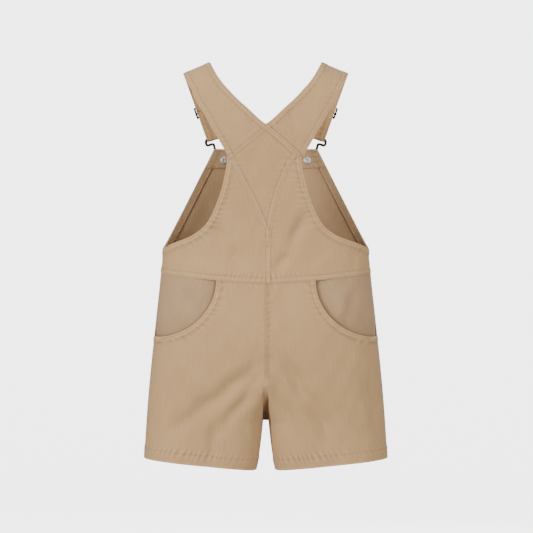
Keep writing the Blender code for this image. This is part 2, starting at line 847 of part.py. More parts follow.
def slider(name, side, collection, cutters):
    """A three-bar slider: two rails outside the strap, joined by bars through it."""
    row = front_strap_row(side, SLIDER_PLACE)
    surface = row[STRAP_COLUMNS // 2]
    up_row = front_strap_row(side, SLIDER_PLACE - 0.05)
    low_row = front_strap_row(side, SLIDER_PLACE + 0.05)
    along = (low_row[STRAP_COLUMNS // 2] - up_row[STRAP_COLUMNS // 2]).normalized()
    across = (row[-1] - row[0]).normalized()
    across = (across - along * across.dot(along)).normalized()
    normal = across.cross(along)
    if normal.y < 0:
        normal = -normal
        across = -across
    axes = Matrix((across, along, normal)).transposed().to_4x4()
    half = (row[-1] - row[0]).length / 2 + SLIDER_RAIL / 2 + RAIL_CLEARANCE
    middle_depth = -(STRAP_WALL + BAR_CLEARANCE + SLIDER_BAR)
    front_depth = SLIDER_BAR + 0.9
    end_bar = SLIDER_HEIGHT / 2 - SLIDER_BAR - 0.35
    bars = [(-end_bar, front_depth), (0, middle_depth), (end_bar, front_depth)]
    rail_low = middle_depth - SLIDER_BAR - 0.2
    rail_high = front_depth + SLIDER_BAR + 0.2
    pieces = []
    for end in (-1, 1):
        mesh = bmesh.new()
        centre = Vector((end * half, 0, (rail_low + rail_high) / 2))
        size = (SLIDER_RAIL, SLIDER_HEIGHT, rail_high - rail_low)
        box_mesh(mesh, Matrix.Translation(centre), size)
        pieces.append(mesh)
    for place, depth in bars:
        mesh = bmesh.new()
        turn = Matrix.Translation((0, place, depth)) @ Matrix.Rotation(pi / 2, 4, "Y")
        bmesh.ops.create_cone(
            mesh, cap_ends=True, segments=8, radius1=SLIDER_BAR, radius2=SLIDER_BAR,
            depth=2 * half, matrix=turn,
        )
        pieces.append(mesh)
    things = []
    for k, mesh in enumerate(pieces):
        mesh.transform(Matrix.Scale(MM, 4) @ Matrix.Translation(surface) @ axes)
        data = bpy.data.meshes.new(f"{name}_{k}" if k else name)
        mesh.to_mesh(data)
        mesh.free()
        things.append(add_object(data.name, data, cutters if k else collection))
    frame = things[0]
    for tool in things[1:]:
        tool.hide_render = True
        tool.display_type = "WIRE"
        join = frame.modifiers.new(tool.name, "BOOLEAN")
        join.operation = "UNION"
        join.object = tool
    return dress(frame, DARK_WIRE, angle=0.6)


def main():
    for thing in list(bpy.data.objects):
        bpy.data.objects.remove(thing)
    collection = bpy.data.collections.new("bib_shortalls")
    bpy.context.scene.collection.children.link(collection)
    cutters = bpy.data.collections.new("cutters")
    bpy.context.scene.collection.children.link(cutters)

    for side, word in ((LEFT, "left"), (RIGHT, "right")):
        back_panel(f"back_panel_{word}", side, collection)
        strap(f"strap_{word}", side, side == LEFT, collection)
        leg_panel(f"back_leg_{word}", BACK, side, collection)
        leg_panel(f"front_leg_{word}", FRONT, side, collection)
        pocket_facing(f"pocket_facing_{word}", side, collection)
        buckle(f"buckle_{word}", side, collection)
        slider(f"slider_{word}", side, collection, cutters)
        button(f"button_{word}", side, collection)
        rivet(f"rivet_{word}", side, collection)
    front_bib(collection)
    bib_facing(collection)


main()
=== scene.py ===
"""Looks of the khaki bib shortalls: cloth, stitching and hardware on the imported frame.

Sizes are in millimetres until a mesh is made. X runs to the wearer's right, Y to the
front and Z up, from the origin between the tops of the two straps.
"""
from collections import namedtuple
from math import pi, radians

import bmesh
import bpy
import numpy as np
from mathutils import Matrix, Vector


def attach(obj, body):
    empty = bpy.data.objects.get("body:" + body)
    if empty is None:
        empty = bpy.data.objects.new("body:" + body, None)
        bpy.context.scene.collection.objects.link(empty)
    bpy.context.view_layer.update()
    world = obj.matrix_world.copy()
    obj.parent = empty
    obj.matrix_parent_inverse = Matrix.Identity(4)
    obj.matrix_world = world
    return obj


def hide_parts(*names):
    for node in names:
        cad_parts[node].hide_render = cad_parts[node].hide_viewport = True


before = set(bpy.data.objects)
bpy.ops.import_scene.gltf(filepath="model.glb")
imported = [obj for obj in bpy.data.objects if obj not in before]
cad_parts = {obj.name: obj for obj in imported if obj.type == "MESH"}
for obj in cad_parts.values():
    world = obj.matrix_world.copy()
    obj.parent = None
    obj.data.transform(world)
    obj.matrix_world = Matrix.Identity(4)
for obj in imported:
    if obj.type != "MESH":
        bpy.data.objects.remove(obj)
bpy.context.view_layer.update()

MM = 0.001

# Cloth
WALL = 1.3
SEAM_GAP = 0.004
YOKE_GAP = 0.1
LAYER_GAP = 0.4
FACING_WALL = 1.1

# The hollow form that all the cloth lies on: a torso that splits into two legs
FORM_POWER = 2.5
INSEAM_POWER = 4
FOLD_GAIN = 1.7
FORK_START = -398
CROTCH = -448
WAIST_CENTRE = -274
WAIST_RISE = 12
WAIST_HALF_WIDTH = 134
HEM_CENTRE = -508.5
HEM_RISE = 14
ARMHOLE_BOTTOM = -231

# Rows of the legs: beside a mouth, seat, plain front, fork and below
MOUTH_ROWS = 64
SEAT_ROWS = 18
FRONT_ROWS = 45
FORK_ROWS = 26
LOW_ROWS = 40
BACK_LEG_COLUMNS = 116
FRONT_LEG_COLUMNS = 84
STRIP_WIDTH = 2

# Shoulders
SHOULDER_TOP = 6.4
SHOULDER_SLOPE = 0.43
NECK_HALF_WIDTH = 71
ROLL_START = -95
ROLL_POWER = 2.2

# Back
CENTRE_BACK = 3
YOKE_TIP = -227.5
TIP_STEP = 0.1
BACK_PANEL_TOP = -114.6
PANEL_UPPER_ROWS = 84
PANEL_LOWER_ROWS = 30
PANEL_COLUMNS = 104

# Hip pockets
MOUTH_WIDTH = 79
MOUTH_DEPTH = 71
MOUTH_SIDE = 141
MOUTH_FOOT = -350
POCKET_MARGIN = 12
POCKET_STEPS = 60
POCKET_STEP = 0.45
POCKET_GAPE = 1.4

# Bib
BIB_TOP = -101
BIB_TOP_HALF_WIDTH = 67
BIB_FLARE = 0.5
BIB_FACING_HEIGHT = 25
BIB_HEM_STEP = 1.1
BIB_ROWS = 96
BIB_COLUMNS = 130
FACING_ROWS = 18
FACING_COLUMNS = 110

# Straps
STRAP_WALL = 1.5
STRAP_COLUMNS = 56
ROWS_PER_KEY = 9
STRAP_TOP_OUTER = 105
STRAP_RUN_IN = 28.5
STRAP_DROP = 81
STRAP_TWIST = 4
STRAP_LIFT = 2.5
STRAP_UNDERLAP = -2.0
DOUBLED_BACK = 0.42

# Where the right strap's edge shows through the left, as x and height
UNDERLAP_START = np.array([0.5, -73.5])
UNDERLAP_END = np.array([-50.0, -114.0])
UNDERLAP_ROWS = (2.2, 7.8)
UNDERLAP_SEARCH_ROWS = 110

# Buckles, sliders, buttons and rivets
WIRE_RADIUS = 1.1
WIRE_SHOWN = 1.7
SLIDER_PLACE = 0.58
SLIDER_HEIGHT = 14.5
SLIDER_RAIL = 2.2
SLIDER_BAR = 1.1
RAIL_CLEARANCE = 0.5
BAR_CLEARANCE = 0.3
LOOP_STAND = 1.6
WIRE_STAND = 0.35
TURN_STEPS = 14
BUTTON_OUT = 54
BUTTON_HEIGHT = -116
BUTTON_RADIUS = 8.5
BUTTON_NECK = 2.2
RIVET_RADIUS = 5
RIVET_DEPTH = 1.8
RIVET_STAND = 3.2

# Thread
EDGE_STEP = 0.4
EDGE_BLOCK = 1500
HEM_FOLD = 1.2
BAR_TACKS = [
    (1.5, -401, 5, 0),
    (-59, -275.5, -0.5, 4),
    (59, -275.5, 0.5, 4),
    (-138, -344, 0, 4),
    (138, -344, 0, 4),
]
STITCH_LENGTH = 2.5
STITCH_GAP = 0.75
THREAD_RADIUS = 0.32

Section = namedtuple("Section", "height half_width back_depth front_depth")
BODY = [
    Section(10, 165, 50, 52),
    Section(-95, 150, 50, 52),
    Section(-150, 141, 49, 53),
    Section(-200, 134.5, 48, 54),
    Section(-231, 131, 49, 54),
    Section(-270, 134, 55, 56),
    Section(-330, 140.5, 65, 59),
    Section(-398, 147.5, 65, 58),
    Section(-448, 151.5, 58, 54),
    Section(-508, 155, 53, 51),
]

Gap = namedtuple("Gap", "height half_width")
LEG_GAP = [Gap(-448, 3.2), Gap(-462, 4.6), Gap(-482, 6.9), Gap(-497, 9.2), Gap(-508, 11.6)]

Armhole = namedtuple("Armhole", "height half_width")
ARMHOLE = [
    Armhole(-115, 46),
    Armhole(-127, 47),
    Armhole(-141, 49.6),
    Armhole(-156, 53.1),
    Armhole(-170, 58),
    Armhole(-183, 63),
    Armhole(-197, 70.5),
    Armhole(-206, 78.4),
    Armhole(-215, 92),
    Armhole(-220, 105),
    Armhole(-225, 119),
    Armhole(-231, 131),
]
ARMHOLE_SHIFT = -2

Yoke = namedtuple("Yoke", "height left right")
YOKE = [
    Yoke(-113.2, -48.4, 43.2),
    Yoke(-116, -47.2, 40.5),
    Yoke(-122, -44.3, 34),
    Yoke(-133, -38.7, 28.6),
    Yoke(-150, -29.8, 21),
    Yoke(-171, -18.5, 14.6),
    Yoke(-193, -8.9, 9.3),
    Yoke(-214, -1.0, 6.8),
    Yoke(-227.5, 0.9, 6.0),
]

Station = namedtuple("Station", "outer_out outer_height neck_out neck_height under")
STRAP_BACK = [
    Station(47.2, -116, -43.4, -113, 1),
    Station(52, -106.4, -25.3, -96, 1),
    Station(59.3, -94, -7.8, -81, 1),
    Station(68.5, -78, 7.5, -69.4, 1),
    Station(77.3, -62.5, 22.3, -55.4, 0.75),
    Station(84.8, -50.6, 36.6, -42.3, 0.35),
    Station(91.6, -38.3, 49.8, -27.9, 0),
]

Rolled = namedtuple("Rolled", "turn outer_out neck_out")
STRAP_TOP = [Rolled(0.655, 91.6, 49.8), Rolled(0.805, 98.5, 60.6), Rolled(1, 105, 71)]

# Large creases, as in the solids: ends as x and height, depth inwards, and half width
Fold = namedtuple("Fold", "start_x start_height end_x end_height depth width")
BACK_FOLDS = [
    Fold(-4, -372, -134, -472, 4.0, 10),
    Fold(-12, -398, -66, -470, 3.2, 8),
    Fold(-62, -446, -70, -502, 2.4, 8),
    Fold(22, -370, 70, -446, 4.0, 10),
    Fold(60, -430, 98, -498, 3.4, 10),
    Fold(10, -398, 42, -478, 3.0, 8),
    Fold(134, -390, 146, -500, 2.4, 9),
    Fold(-64, -200, -48, -232, 2.4, 8),
    Fold(-48, -232, -22, -256, 2.2, 8),
    Fold(50, -186, 28, -236, 2.8, 8),
    Fold(28, -236, 12, -262, 2.2, 7),
    Fold(96, -282, 92, -322, -1.6, 10),
    Fold(-98, -284, -86, -318, 1.8, 9),
]
FRONT_FOLDS = [
    Fold(-4, -372, -112, -446, 3.6, 11),
    Fold(-10, -396, -62, -492, 3.0, 9),
    Fold(6, -376, 104, -462, 3.6, 11),
    Fold(12, -398, 50, -500, 3.0, 9),
    Fold(-20, -300, -70, -330, 1.6, 12),
    Fold(24, -298, 76, -326, 1.6, 12),
    Fold(-30, -180, 22, -206, 1.4, 12),
]

# Smaller creases that only the finished cloth has
BACK_CREASES = [
    Fold(-2, -384, -36, -414, 1.3, 4.5),
    Fold(-30, -440, -18, -492, 0.9, 6),
    Fold(-104, -430, -116, -486, 0.8, 7),
    Fold(6, -386, 34, -424, 1.2, 4.5),
    Fold(118, -374, 138, -446, 0.9, 7),
    Fold(70, -470, 76, -500, 0.7, 6),
    Fold(-60, -290, -30, -340, 0.7, 11),
    Fold(30, -292, 12, -340, 0.6, 11),
    Fold(-90, -236, -58, -250, 0.8, 6),
    Fold(82, -226, 52, -256, 0.8, 7),
    Fold(-110, -232, -96, -262, 0.6, 6),
    Fold(112, -236, 104, -260, 0.6, 6),
    Fold(-26, -124, -8, -168, 0.7, 9),
    Fold(22, -112, 8, -176, 0.8, 8),
    Fold(30, -46, 42, -106, 1.7, 5),
    Fold(56, -30, 60, -70, 0.7, 7),
    Fold(-74, -20, -44, -64, 0.6, 8),
    Fold(-105, -282, -88, -322, 1.6, 5),
    Fold(-127, -280, -123, -330, 1.0, 5),
    Fold(112, -280, 100, -318, 1.0, 6),
]
FRONT_CREASES = [
    Fold(-2, -384, -34, -418, 1.2, 5),
    Fold(4, -384, 38, -420, 1.2, 5),
    Fold(-100, -440, -118, -492, 0.8, 7),
    Fold(96, -436, 112, -490, 0.8, 7),
    Fold(-70, -232, -20, -258, 0.8, 8),
    Fold(78, -226, 30, -256, 0.8, 8),
    Fold(-54, -128, -30, -164, 0.7, 8),
    Fold(52, -128, 26, -170, 0.7, 8),
]

# A seam's stitch rows and raised band, measured from the edge, and how much it puckers
Seam = namedtuple("Seam", "rows band lift pucker pitch")
FELLED = Seam((1.7, 7.2), 8.5, 0.60, 0.30, 5.6)
BARE = Seam((), 2.0, 0.0, 0.16, 6.5)
EDGE = Seam((2.0, 7.4), 8.8, 0.55, 0.34, 7.0)
STRAP_EDGE = Seam((2.0, 7.2), 8.4, 0.40, 0.18, 6.5)
MOUTH = Seam((2.0, 7.4), 8.8, 0.60, 0.28, 7.5)
HEM = Seam((13.4,), 14.6, 0.60, 0.48, 7.0)
BIB_HEM = Seam((8.2,), 9.4, 0.30, 0.25, 7.0)
TOP_EDGE = Seam((2.0,), 3.0, 0.15, 0.12, 7.0)
FACING_EDGE = Seam((1.6,), 2.6, 0.30, 0.15, 6.5)
CENTRE_SEAM = Seam((2.6,), 3.5, 0.55, 0.20, 6.0)
SEAT_SEAM = Seam((3.4,), 4.8, 0.55, 0.20, 8.0)
SEAT_UNDER = Seam((), 2.4, 0.0, 0.12, 8.0)

BACK = -1
FRONT = 1
LEFT = -1
RIGHT = 1


def read(table, column, place):
    """A column of a table at values of its first column, on a smooth curve."""
    rows = sorted(table, key=lambda row: row[0])
    keys = np.array([row[0] for row in rows], dtype=float)
    values = np.array([getattr(row, column) for row in rows], dtype=float)
    last = len(keys) - 1
    low = np.maximum(np.arange(last + 1) - 1, 0)
    high = np.minimum(np.arange(last + 1) + 1, last)
    slopes = (values[high] - values[low]) / (keys[high] - keys[low])
    place = np.clip(place, keys[0], keys[-1])
    k = np.clip(np.searchsorted(keys, place, side="right") - 1, 0, last - 1)
    span = keys[k + 1] - keys[k]
    t = (place - keys[k]) / span
    return (
        values[k] * (1 + 2 * t) * (1 - t) ** 2
        + values[k + 1] * t * t * (3 - 2 * t)
        + slopes[k] * span * t * (1 - t) ** 2
        - slopes[k + 1] * span * t * t * (1 - t)
    )


def blend(low, high, t):
    return low + (high - low) * t


def smooth(low, high, value):
    t = np.clip((value - low) / (high - low), 0, 1)
    return t * t * (3 - 2 * t)


def hill(place, centre, width):
    """A smooth bump of height 1."""
    return np.exp(-(((place - centre) / width) ** 2))


def unit(vectors):
    return vectors / np.maximum(np.linalg.norm(vectors, axis=-1, keepdims=True), 1e-9)


def oval(fraction, power=FORM_POWER):
    """Half the outline of a rounded box, from 1 in the middle to 0 at the side."""
    return np.maximum(0, 1 - np.abs(fraction) ** power) ** (1 / power)


def crest(x):
    return SHOULDER_TOP - SHOULDER_SLOPE * np.maximum(0, np.abs(x) - NECK_HALF_WIDTH)


def roll(x, height):
    turn = np.clip((height - ROLL_START) / (crest(x) - ROLL_START), 0, 1)
    return (1 - turn ** ROLL_POWER) ** (1 / ROLL_POWER)


def pressed(folds, x, height):
    """How far creases press the cloth in."""
    total = np.zeros(np.broadcast(x, height).shape)
    for fold in folds:
        run_x = fold.end_x - fold.start_x
        run_z = fold.end_height - fold.start_height
        length = np.hypot(run_x, run_z)
        along = ((x - fold.start_x) * run_x + (height - fold.start_height) * run_z) / length
        off = ((x - fold.start_x) * run_z - (height - fold.start_height) * run_x) / length
        off = off + 0.12 * fold.width * np.sin(along / 7 + fold.depth * 9)
        ends = smooth(-0.2, 0.35, along / length) * smooth(-0.25, 0.75, 1 - along / length)
        total = total + fold.depth * ends * hill(off, 0, fold.width)
    return total


def rumple(x, height):
    """The faint unevenness of washed cloth."""
    return 1.3 * (
        0.28 * np.sin(x / 13.0 + 1.3 * np.sin(height / 31.0))
        * np.sin(height / 19.0 + 0.9 * np.sin(x / 23.0))
        + 0.16 * np.sin(x / 6.1 + height / 9.3 + 2.0)
        + 0.12 * np.sin(x / 4.7 - height / 7.9 + np.sin(x / 17.0))
    )


def form(face, x, height, fine=True):
    """Points of the hollow form behind places in the front or back view."""
    x = np.asarray(x, dtype=float)
    height = np.asarray(height, dtype=float)
    side = read(BODY, "half_width", height)
    depth = read(BODY, "back_depth" if face == BACK else "front_depth", height)
    torso = oval(x / side)
    gap = read(LEG_GAP, "half_width", height)
    fallen = np.clip((FORK_START - height) / (FORK_START - CROTCH), 0, 1)
    middle = (side + gap) / 2
    off = (np.abs(x) - middle) / (side - middle)
    leg = np.where(off < 0, oval(off, INSEAM_POWER), oval(off))
    at_seam = 1 - fallen * fallen
    at_side = 1 - smooth(FORK_START, HEM_CENTRE, height)
    still = blend(at_seam, at_side, smooth(0.1, 0.55, np.abs(x) / side))
    below = depth * (still * torso + (1 - still) * leg)
    above = depth * torso * roll(x, height)
    reach = np.where(height < FORK_START, below, above)
    edge = smooth(0, 22, side - np.abs(x)) * smooth(0, 12, reach)
    folds = BACK_FOLDS if face == BACK else FRONT_FOLDS
    reach = reach - edge * pressed(folds, x, height) * (FOLD_GAIN if fine else 1)
    if fine:
        creases = BACK_CREASES if face == BACK else FRONT_CREASES
        reach = reach - edge * pressed(creases, x, height) + edge * rumple(x, height)
    y = face * np.maximum(reach, SEAM_GAP / 2)
    return np.stack(np.broadcast_arrays(x, y, height), axis=-1)


def waist(x):
    return WAIST_CENTRE + WAIST_RISE * (np.abs(x) / WAIST_HALF_WIDTH) ** 1.6


def lengths(points, axis):
    """Distance travelled along a grid's rows or columns."""
    steps = np.linalg.norm(np.diff(points, axis=axis), axis=-1)
    pad = [(0, 0), (0, 0)]
    pad[axis] = (1, 0)
    return np.pad(np.cumsum(steps, axis=axis), pad)


def grid_normals(grid, facing):
    """Outward directions. The sign is set by y in the middle of the first row."""
    across = np.gradient(grid, axis=1)
    down = np.gradient(grid, axis=0)
    normals = unit(np.cross(across, down))
    middle = normals[1, grid.shape[1] // 2, 1]
    return normals * (1 if middle * facing > 0 else -1)


def edge_measures(grid, edge, span, fade=(0, 0)):
    """Each point's distance from a stretch of an edge, its place along it, and a mask."""
    line = {"first": grid[:, 0], "last": grid[:, -1], "top": grid[0], "bottom": grid[-1]}[edge]
    line = line[span[0]:span[1] + 1]
    run = np.concatenate([[0], np.cumsum(np.linalg.norm(np.diff(line, axis=0), axis=1))])
    dense_places = np.linspace(0, run[-1], int(run[-1] / EDGE_STEP) + 2)
    dense = np.stack([np.interp(dense_places, run, line[:, k]) for k in range(3)], axis=1)
    dense = dense.astype(np.float32)
    points = grid.reshape(-1, 3).astype(np.float32)
    distance, nearest = np.empty(len(points)), np.empty(len(points), dtype=int)
    for start in range(0, len(points), EDGE_BLOCK):
        block = points[start:start + EDGE_BLOCK]
        apart = ((block[:, None] - dense[None]) ** 2).sum(axis=-1)
        nearest[start:start + EDGE_BLOCK] = apart.argmin(axis=1)
        distance[start:start + EDGE_BLOCK] = np.sqrt(apart.min(axis=1))
    place = dense_places[nearest].reshape(grid.shape[:2])
    inside = np.ones(grid.shape[:2])
    if fade[0]:
        inside = inside * smooth(0, fade[0], place)
    if fade[1]:
        inside = inside * smooth(0, fade[1], run[-1] - place)
    return distance.reshape(grid.shape[:2]), place, inside


def seam_relief(seam, run, place, inside, salt):
    """Height of a seam's raised band, stitch rows and puckers on a panel, and the change in its
    colour: fading from use, painted shade and painted highlights.
    """
    raised = seam.lift * (1 - smooth(seam.band - 0.8, seam.band + 0.9, run))
    rounded = -0.45 * hill(run, 0, 0.8) if seam.lift else 0
    total = raised + rounded
    # Colour: lighter on the seam's ridge, as fading from use and as a painted highlight, and darker
    # right at its edge.
    wear_and_shade = 0.55 * hill(run, 1.0, 1.0) if seam.lift else np.zeros_like(run)
    wear_and_shade = wear_and_shade - 0.4 * hill(run, 0, 0.55)
    for row in seam.rows:
        # Each stitch row: painted shade in its groove, and lighter just beside it.
        groove = hill(run, row, 0.8)
        total = total - 0.36 * groove
        wear_and_shade = wear_and_shade - 0.55 * groove + 0.25 * hill(run, row + 1.8, 1.0)
    if seam.rows:
        # Darker just past the raised band.
        wear_and_shade = wear_and_shade - 0.3 * hill(run, seam.band + 0.6, 0.9)
    wave = place / seam.pitch
    wave = wave + 0.35 * np.sin(place / 17.0 + salt) + 0.2 * np.sin(place / 5.3 + 2 * salt)
    strength = 0.6 + 0.4 * np.sin(place / 23.0 + 1.7 * salt)
    reach = seam.rows[-1] if seam.rows else 0
    slant = 0.05 * run
    near = hill(run, reach, 6.0) * smooth(0, 1.5, run + 0.8)
    ripple = strength * np.sin(2 * pi * (wave + slant)) * near
    total = total + seam.pucker * ripple
    # The puckers' high parts are lighter and their low parts darker: fading from use, and painted
    # shade.
    wear_and_shade = wear_and_shade + 0.9 * seam.pucker * ripple
    return total * inside, wear_and_shade * inside


def resample(points, normals, pitch):
    """Evenly spaced places along a line, with directions along and out."""
    steps = np.linalg.norm(np.diff(points, axis=0), axis=1)
    run = np.concatenate([[0], np.cumsum(steps)])
    count = max(int(run[-1] / pitch), 1)
    starts = (np.arange(count) + 0.12) * pitch
    ends = np.minimum(starts + STITCH_LENGTH, run[-1])

    def pick(at, values):
        return np.stack([np.interp(at, run, values[:, k]) for k in range(3)], axis=1)

    return pick(starts, points), pick(ends, points), pick((starts + ends) / 2, normals)


def link_new(name, data):
    thing = bpy.data.objects.new(name, data)
    bpy.context.scene.collection.objects.link(thing)
    return thing


def clean(data):
    """Drops unused points and turns all faces outwards."""
    mesh = bmesh.new()
    mesh.from_mesh(data)
    loose = [v for v in mesh.verts if not v.link_faces]
    bmesh.ops.delete(mesh, geom=loose, context="VERTS")
    bmesh.ops.recalc_face_normals(mesh, faces=mesh.faces)
    mesh.to_mesh(data)
    mesh.free()
    data.shade_smooth()


def stitch_mesh(name, lines):
    """Short thread beads along lines of (points, normals), joined into one mesh."""
    vertices, faces = [], []
    for points, normals in lines:
        if len(points) < 2:
            continue
        starts, ends, outs = resample(points, normals, STITCH_LENGTH + STITCH_GAP)
        for start, end, out in zip(starts, ends, outs):
            run = end - start
            size = np.linalg.norm(run)
            if size < 0.8:
                continue
            run = run / size
            out = unit(out - run * out.dot(run))
            side = np.cross(run, out)
            base = len(vertices)
            vertices.append(start - out * 0.12)
            for t in (0.22, 0.78):
                centre = start + (end - start) * t + out * 0.08
                for a, b in ((1, 0), (0, 1), (-1, 0), (0, -1)):
                    vertices.append(centre + (side * a * 1.25 + out * b) * THREAD_RADIUS)
            vertices.append(end - out * 0.12)
            for k in range(4):
                n = (k + 1) % 4
                faces.append((base, base + 1 + n, base + 1 + k))
                faces.append((base + 1 + k, base + 1 + n, base + 5 + n, base + 5 + k))
                faces.append((base + 9, base + 5 + k, base + 5 + n))
    data = bpy.data.meshes.new(name)
    data.from_pydata([Vector(v) * MM for v in vertices], [], faces)
    data.validate()
    thing = link_new(name, data)
    clean(data)
    data.materials.append(THREAD)
    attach(thing, "root")
    return thing


def line_at(surface, normals, measures, edge, distance):
    """Points and directions of the line at a distance from an edge, in order along it."""
    run, place, inside = measures
    if edge in ("top", "bottom"):
        surface, normals = surface.transpose(1, 0, 2), normals.transpose(1, 0, 2)
        run, place, inside = run.T, place.T, inside.T
    if edge in ("last", "bottom"):
        surface, normals = surface[:, ::-1], normals[:, ::-1]
        run, place, inside = run[:, ::-1], place[:, ::-1], inside[:, ::-1]
    found = []
    for k in range(len(run)):
        hits = np.nonzero((run[k, 1:] >= distance) & (run[k, :-1] < distance))[0]
        if not len(hits) or inside[k, hits[0]] < 0.5:
            continue
        i = hits[0]
        t = (distance - run[k, i]) / (run[k, i + 1] - run[k, i])
        if EDGE_STEP < place[k, i] < place.max() - EDGE_STEP:
            point = blend(surface[k, i], surface[k, i + 1], t)
            found.append((place[k, i], point, blend(normals[k, i], normals[k, i + 1], t)))
    found.sort(key=lambda item: item[0])
    return np.array([item[1] for item in found]), np.array([item[2] for item in found])


def shell_faces(rows, columns, cell_missing):
    """Faces of an outer and an inner grid, and of the wall round their borders."""
    number = np.arange(rows * columns).reshape(rows, columns)
    total = rows * columns
    whole = not cell_missing.any()
    faces, edges = [], {}
    for r in range(rows - 1):
        for c in range(columns - 1):
            if cell_missing[r, c]:
                continue
            cell = [number[r, c], number[r, c + 1], number[r + 1, c + 1], number[r + 1, c]]
            faces.append(cell)
            faces.append([total + k for k in reversed(cell)])
            if whole and r not in (0, rows - 2) and c not in (0, columns - 2):
                continue
            for pair in zip(cell, cell[1:] + cell[:1]):
                if pair[::-1] in edges:
                    del edges[pair[::-1]]
                else:
                    edges[pair] = True
    for start, end in edges:
        if is_border(start, end, rows, columns, cell_missing):
            faces.append([end, start, total + start, total + end])
    return [[int(k) for k in face] for face in faces]


def cloth(name, node, grid, facing, seams, material, wall=WALL, missing=None, keep=(),
          outside=(0, 0), inside=(0, 0), more_lines=()):
    """A thin shell of cloth with its seams in relief, its rows of stitches, and painted shade and
    highlights with fading from use on its colour.

    outside and inside each hold a height, or a thickness, to add and a painted shade to add to the
    colour.
    keep lists grid places whose walls stay in a plane, with the axis across that plane.
    """
    normals = grid_normals(grid, facing)
    relief = np.zeros(grid.shape[:2])
    wear_and_shade_outside = np.zeros(grid.shape[:2])
    measured = []
    for salt, (edge, seam, span, *fade) in enumerate(seams):
        measures = edge_measures(grid, edge, span, *fade)
        height, wear_and_shade = seam_relief(seam, *measures, salt + len(name))
        relief = relief + height
        wear_and_shade_outside = wear_and_shade_outside + wear_and_shade
        measured.append((edge, seam, measures))
    relief = relief + outside[0]
    wear_and_shade_outside = wear_and_shade_outside + outside[1]
    thick = np.zeros_like(wear_and_shade_outside) + wall + inside[0]
    shade_inside = np.zeros_like(wear_and_shade_outside) + inside[1]
    outward = normals.copy()
    for rows, columns, axis in keep:
        outward[rows, columns, axis] = 0
    outward = unit(outward)
    surface = grid + outward * relief[..., None]
    inner = grid - outward * thick[..., None]
    rows, columns = grid.shape[:2]
    cell_missing = np.zeros((rows - 1, columns - 1), dtype=bool)
    if missing is not None:
        cell_missing[missing] = True
    points = np.concatenate([surface.reshape(-1, 3), inner.reshape(-1, 3)]) * MM
    data = bpy.data.meshes.new(name)
    data.from_pydata([tuple(p) for p in points], [], shell_faces(rows, columns, cell_missing))
    u = lengths(grid, 1)
    u = u - u[:, columns // 2:columns // 2 + 1]
    v = lengths(grid, 0)
    layer = data.uv_layers.new(name="cloth")
    places = np.stack([u.reshape(-1), v.reshape(-1)], axis=1)
    places = np.concatenate([places, places])
    loops = np.zeros(len(data.loops), dtype=np.int32)
    data.loops.foreach_get("vertex_index", loops)
    layer.data.foreach_set("uv", places[loops].astype(np.float32).reshape(-1))
    # Per point, a value that scales the colour: fading from use, and painted shade and highlights.
    tint = data.attributes.new("wear_and_shade", "FLOAT", "POINT")
    both = np.concatenate([wear_and_shade_outside.reshape(-1), shade_inside.reshape(-1)])
    tint.data.foreach_set("value", np.clip(0.5 + 0.5 * both, 0, 1).astype(np.float32))
    thing = link_new(name, data)
    clean(data)
    data.set_sharp_from_angle(angle=radians(62))
    data.materials.append(material)
    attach(thing, "root")
    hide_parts(node)
    lines = []
    for edge, seam, measures in measured:
        lines.extend(line_at(surface, normals, measures, edge, row) for row in seam.rows)
    for line in more_lines:
        lines.extend(line(surface, normals, inner))
    lines = [line for line in lines if len(line[0]) > 1]
    if lines:
        stitch_mesh(f"stitches_{node}", lines)
    width = float(lengths(grid, 1)[:, -1].max()) * MM
    length = float(lengths(grid, 0)[-1].max()) * MM
    quads = grid[1:, 1:] - grid[:-1, :-1], grid[1:, :-1] - grid[:-1, 1:]
    cells = np.linalg.norm(np.cross(*quads), axis=-1) / 2
    area = float(cells[~cell_missing].sum()) * MM * MM
    area = min(max(area, 0.31 * width * length), width * length)


def is_border(start, end, rows, columns, cell_missing):
    """Whether an edge between two grid points has a cell on one side only."""
    r0, c0 = divmod(int(start), columns)
    r1, c1 = divmod(int(end), columns)
    if r0 == r1:
        c = min(c0, c1)
        cells = [(r0 - 1, c), (r0, c)]
    else:
        r = min(r0, r1)
        cells = [(r, c0 - 1), (r, c0)]
    there = 0
    for r, c in cells:
        if 0 <= r < rows - 1 and 0 <= c < columns - 1 and not cell_missing[r, c]:
            there += 1
    return there == 1


def spread(count, closeness=0.7):
    """Places from 0 to 1 that lie closer together near both ends."""
    even = np.arange(count + 1) / count
    return blend(even, (1 - np.cos(pi * even)) / 2, closeness)


def yoke_edge(side, height):
    return read(YOKE, "left" if side == LEFT else "right", height)


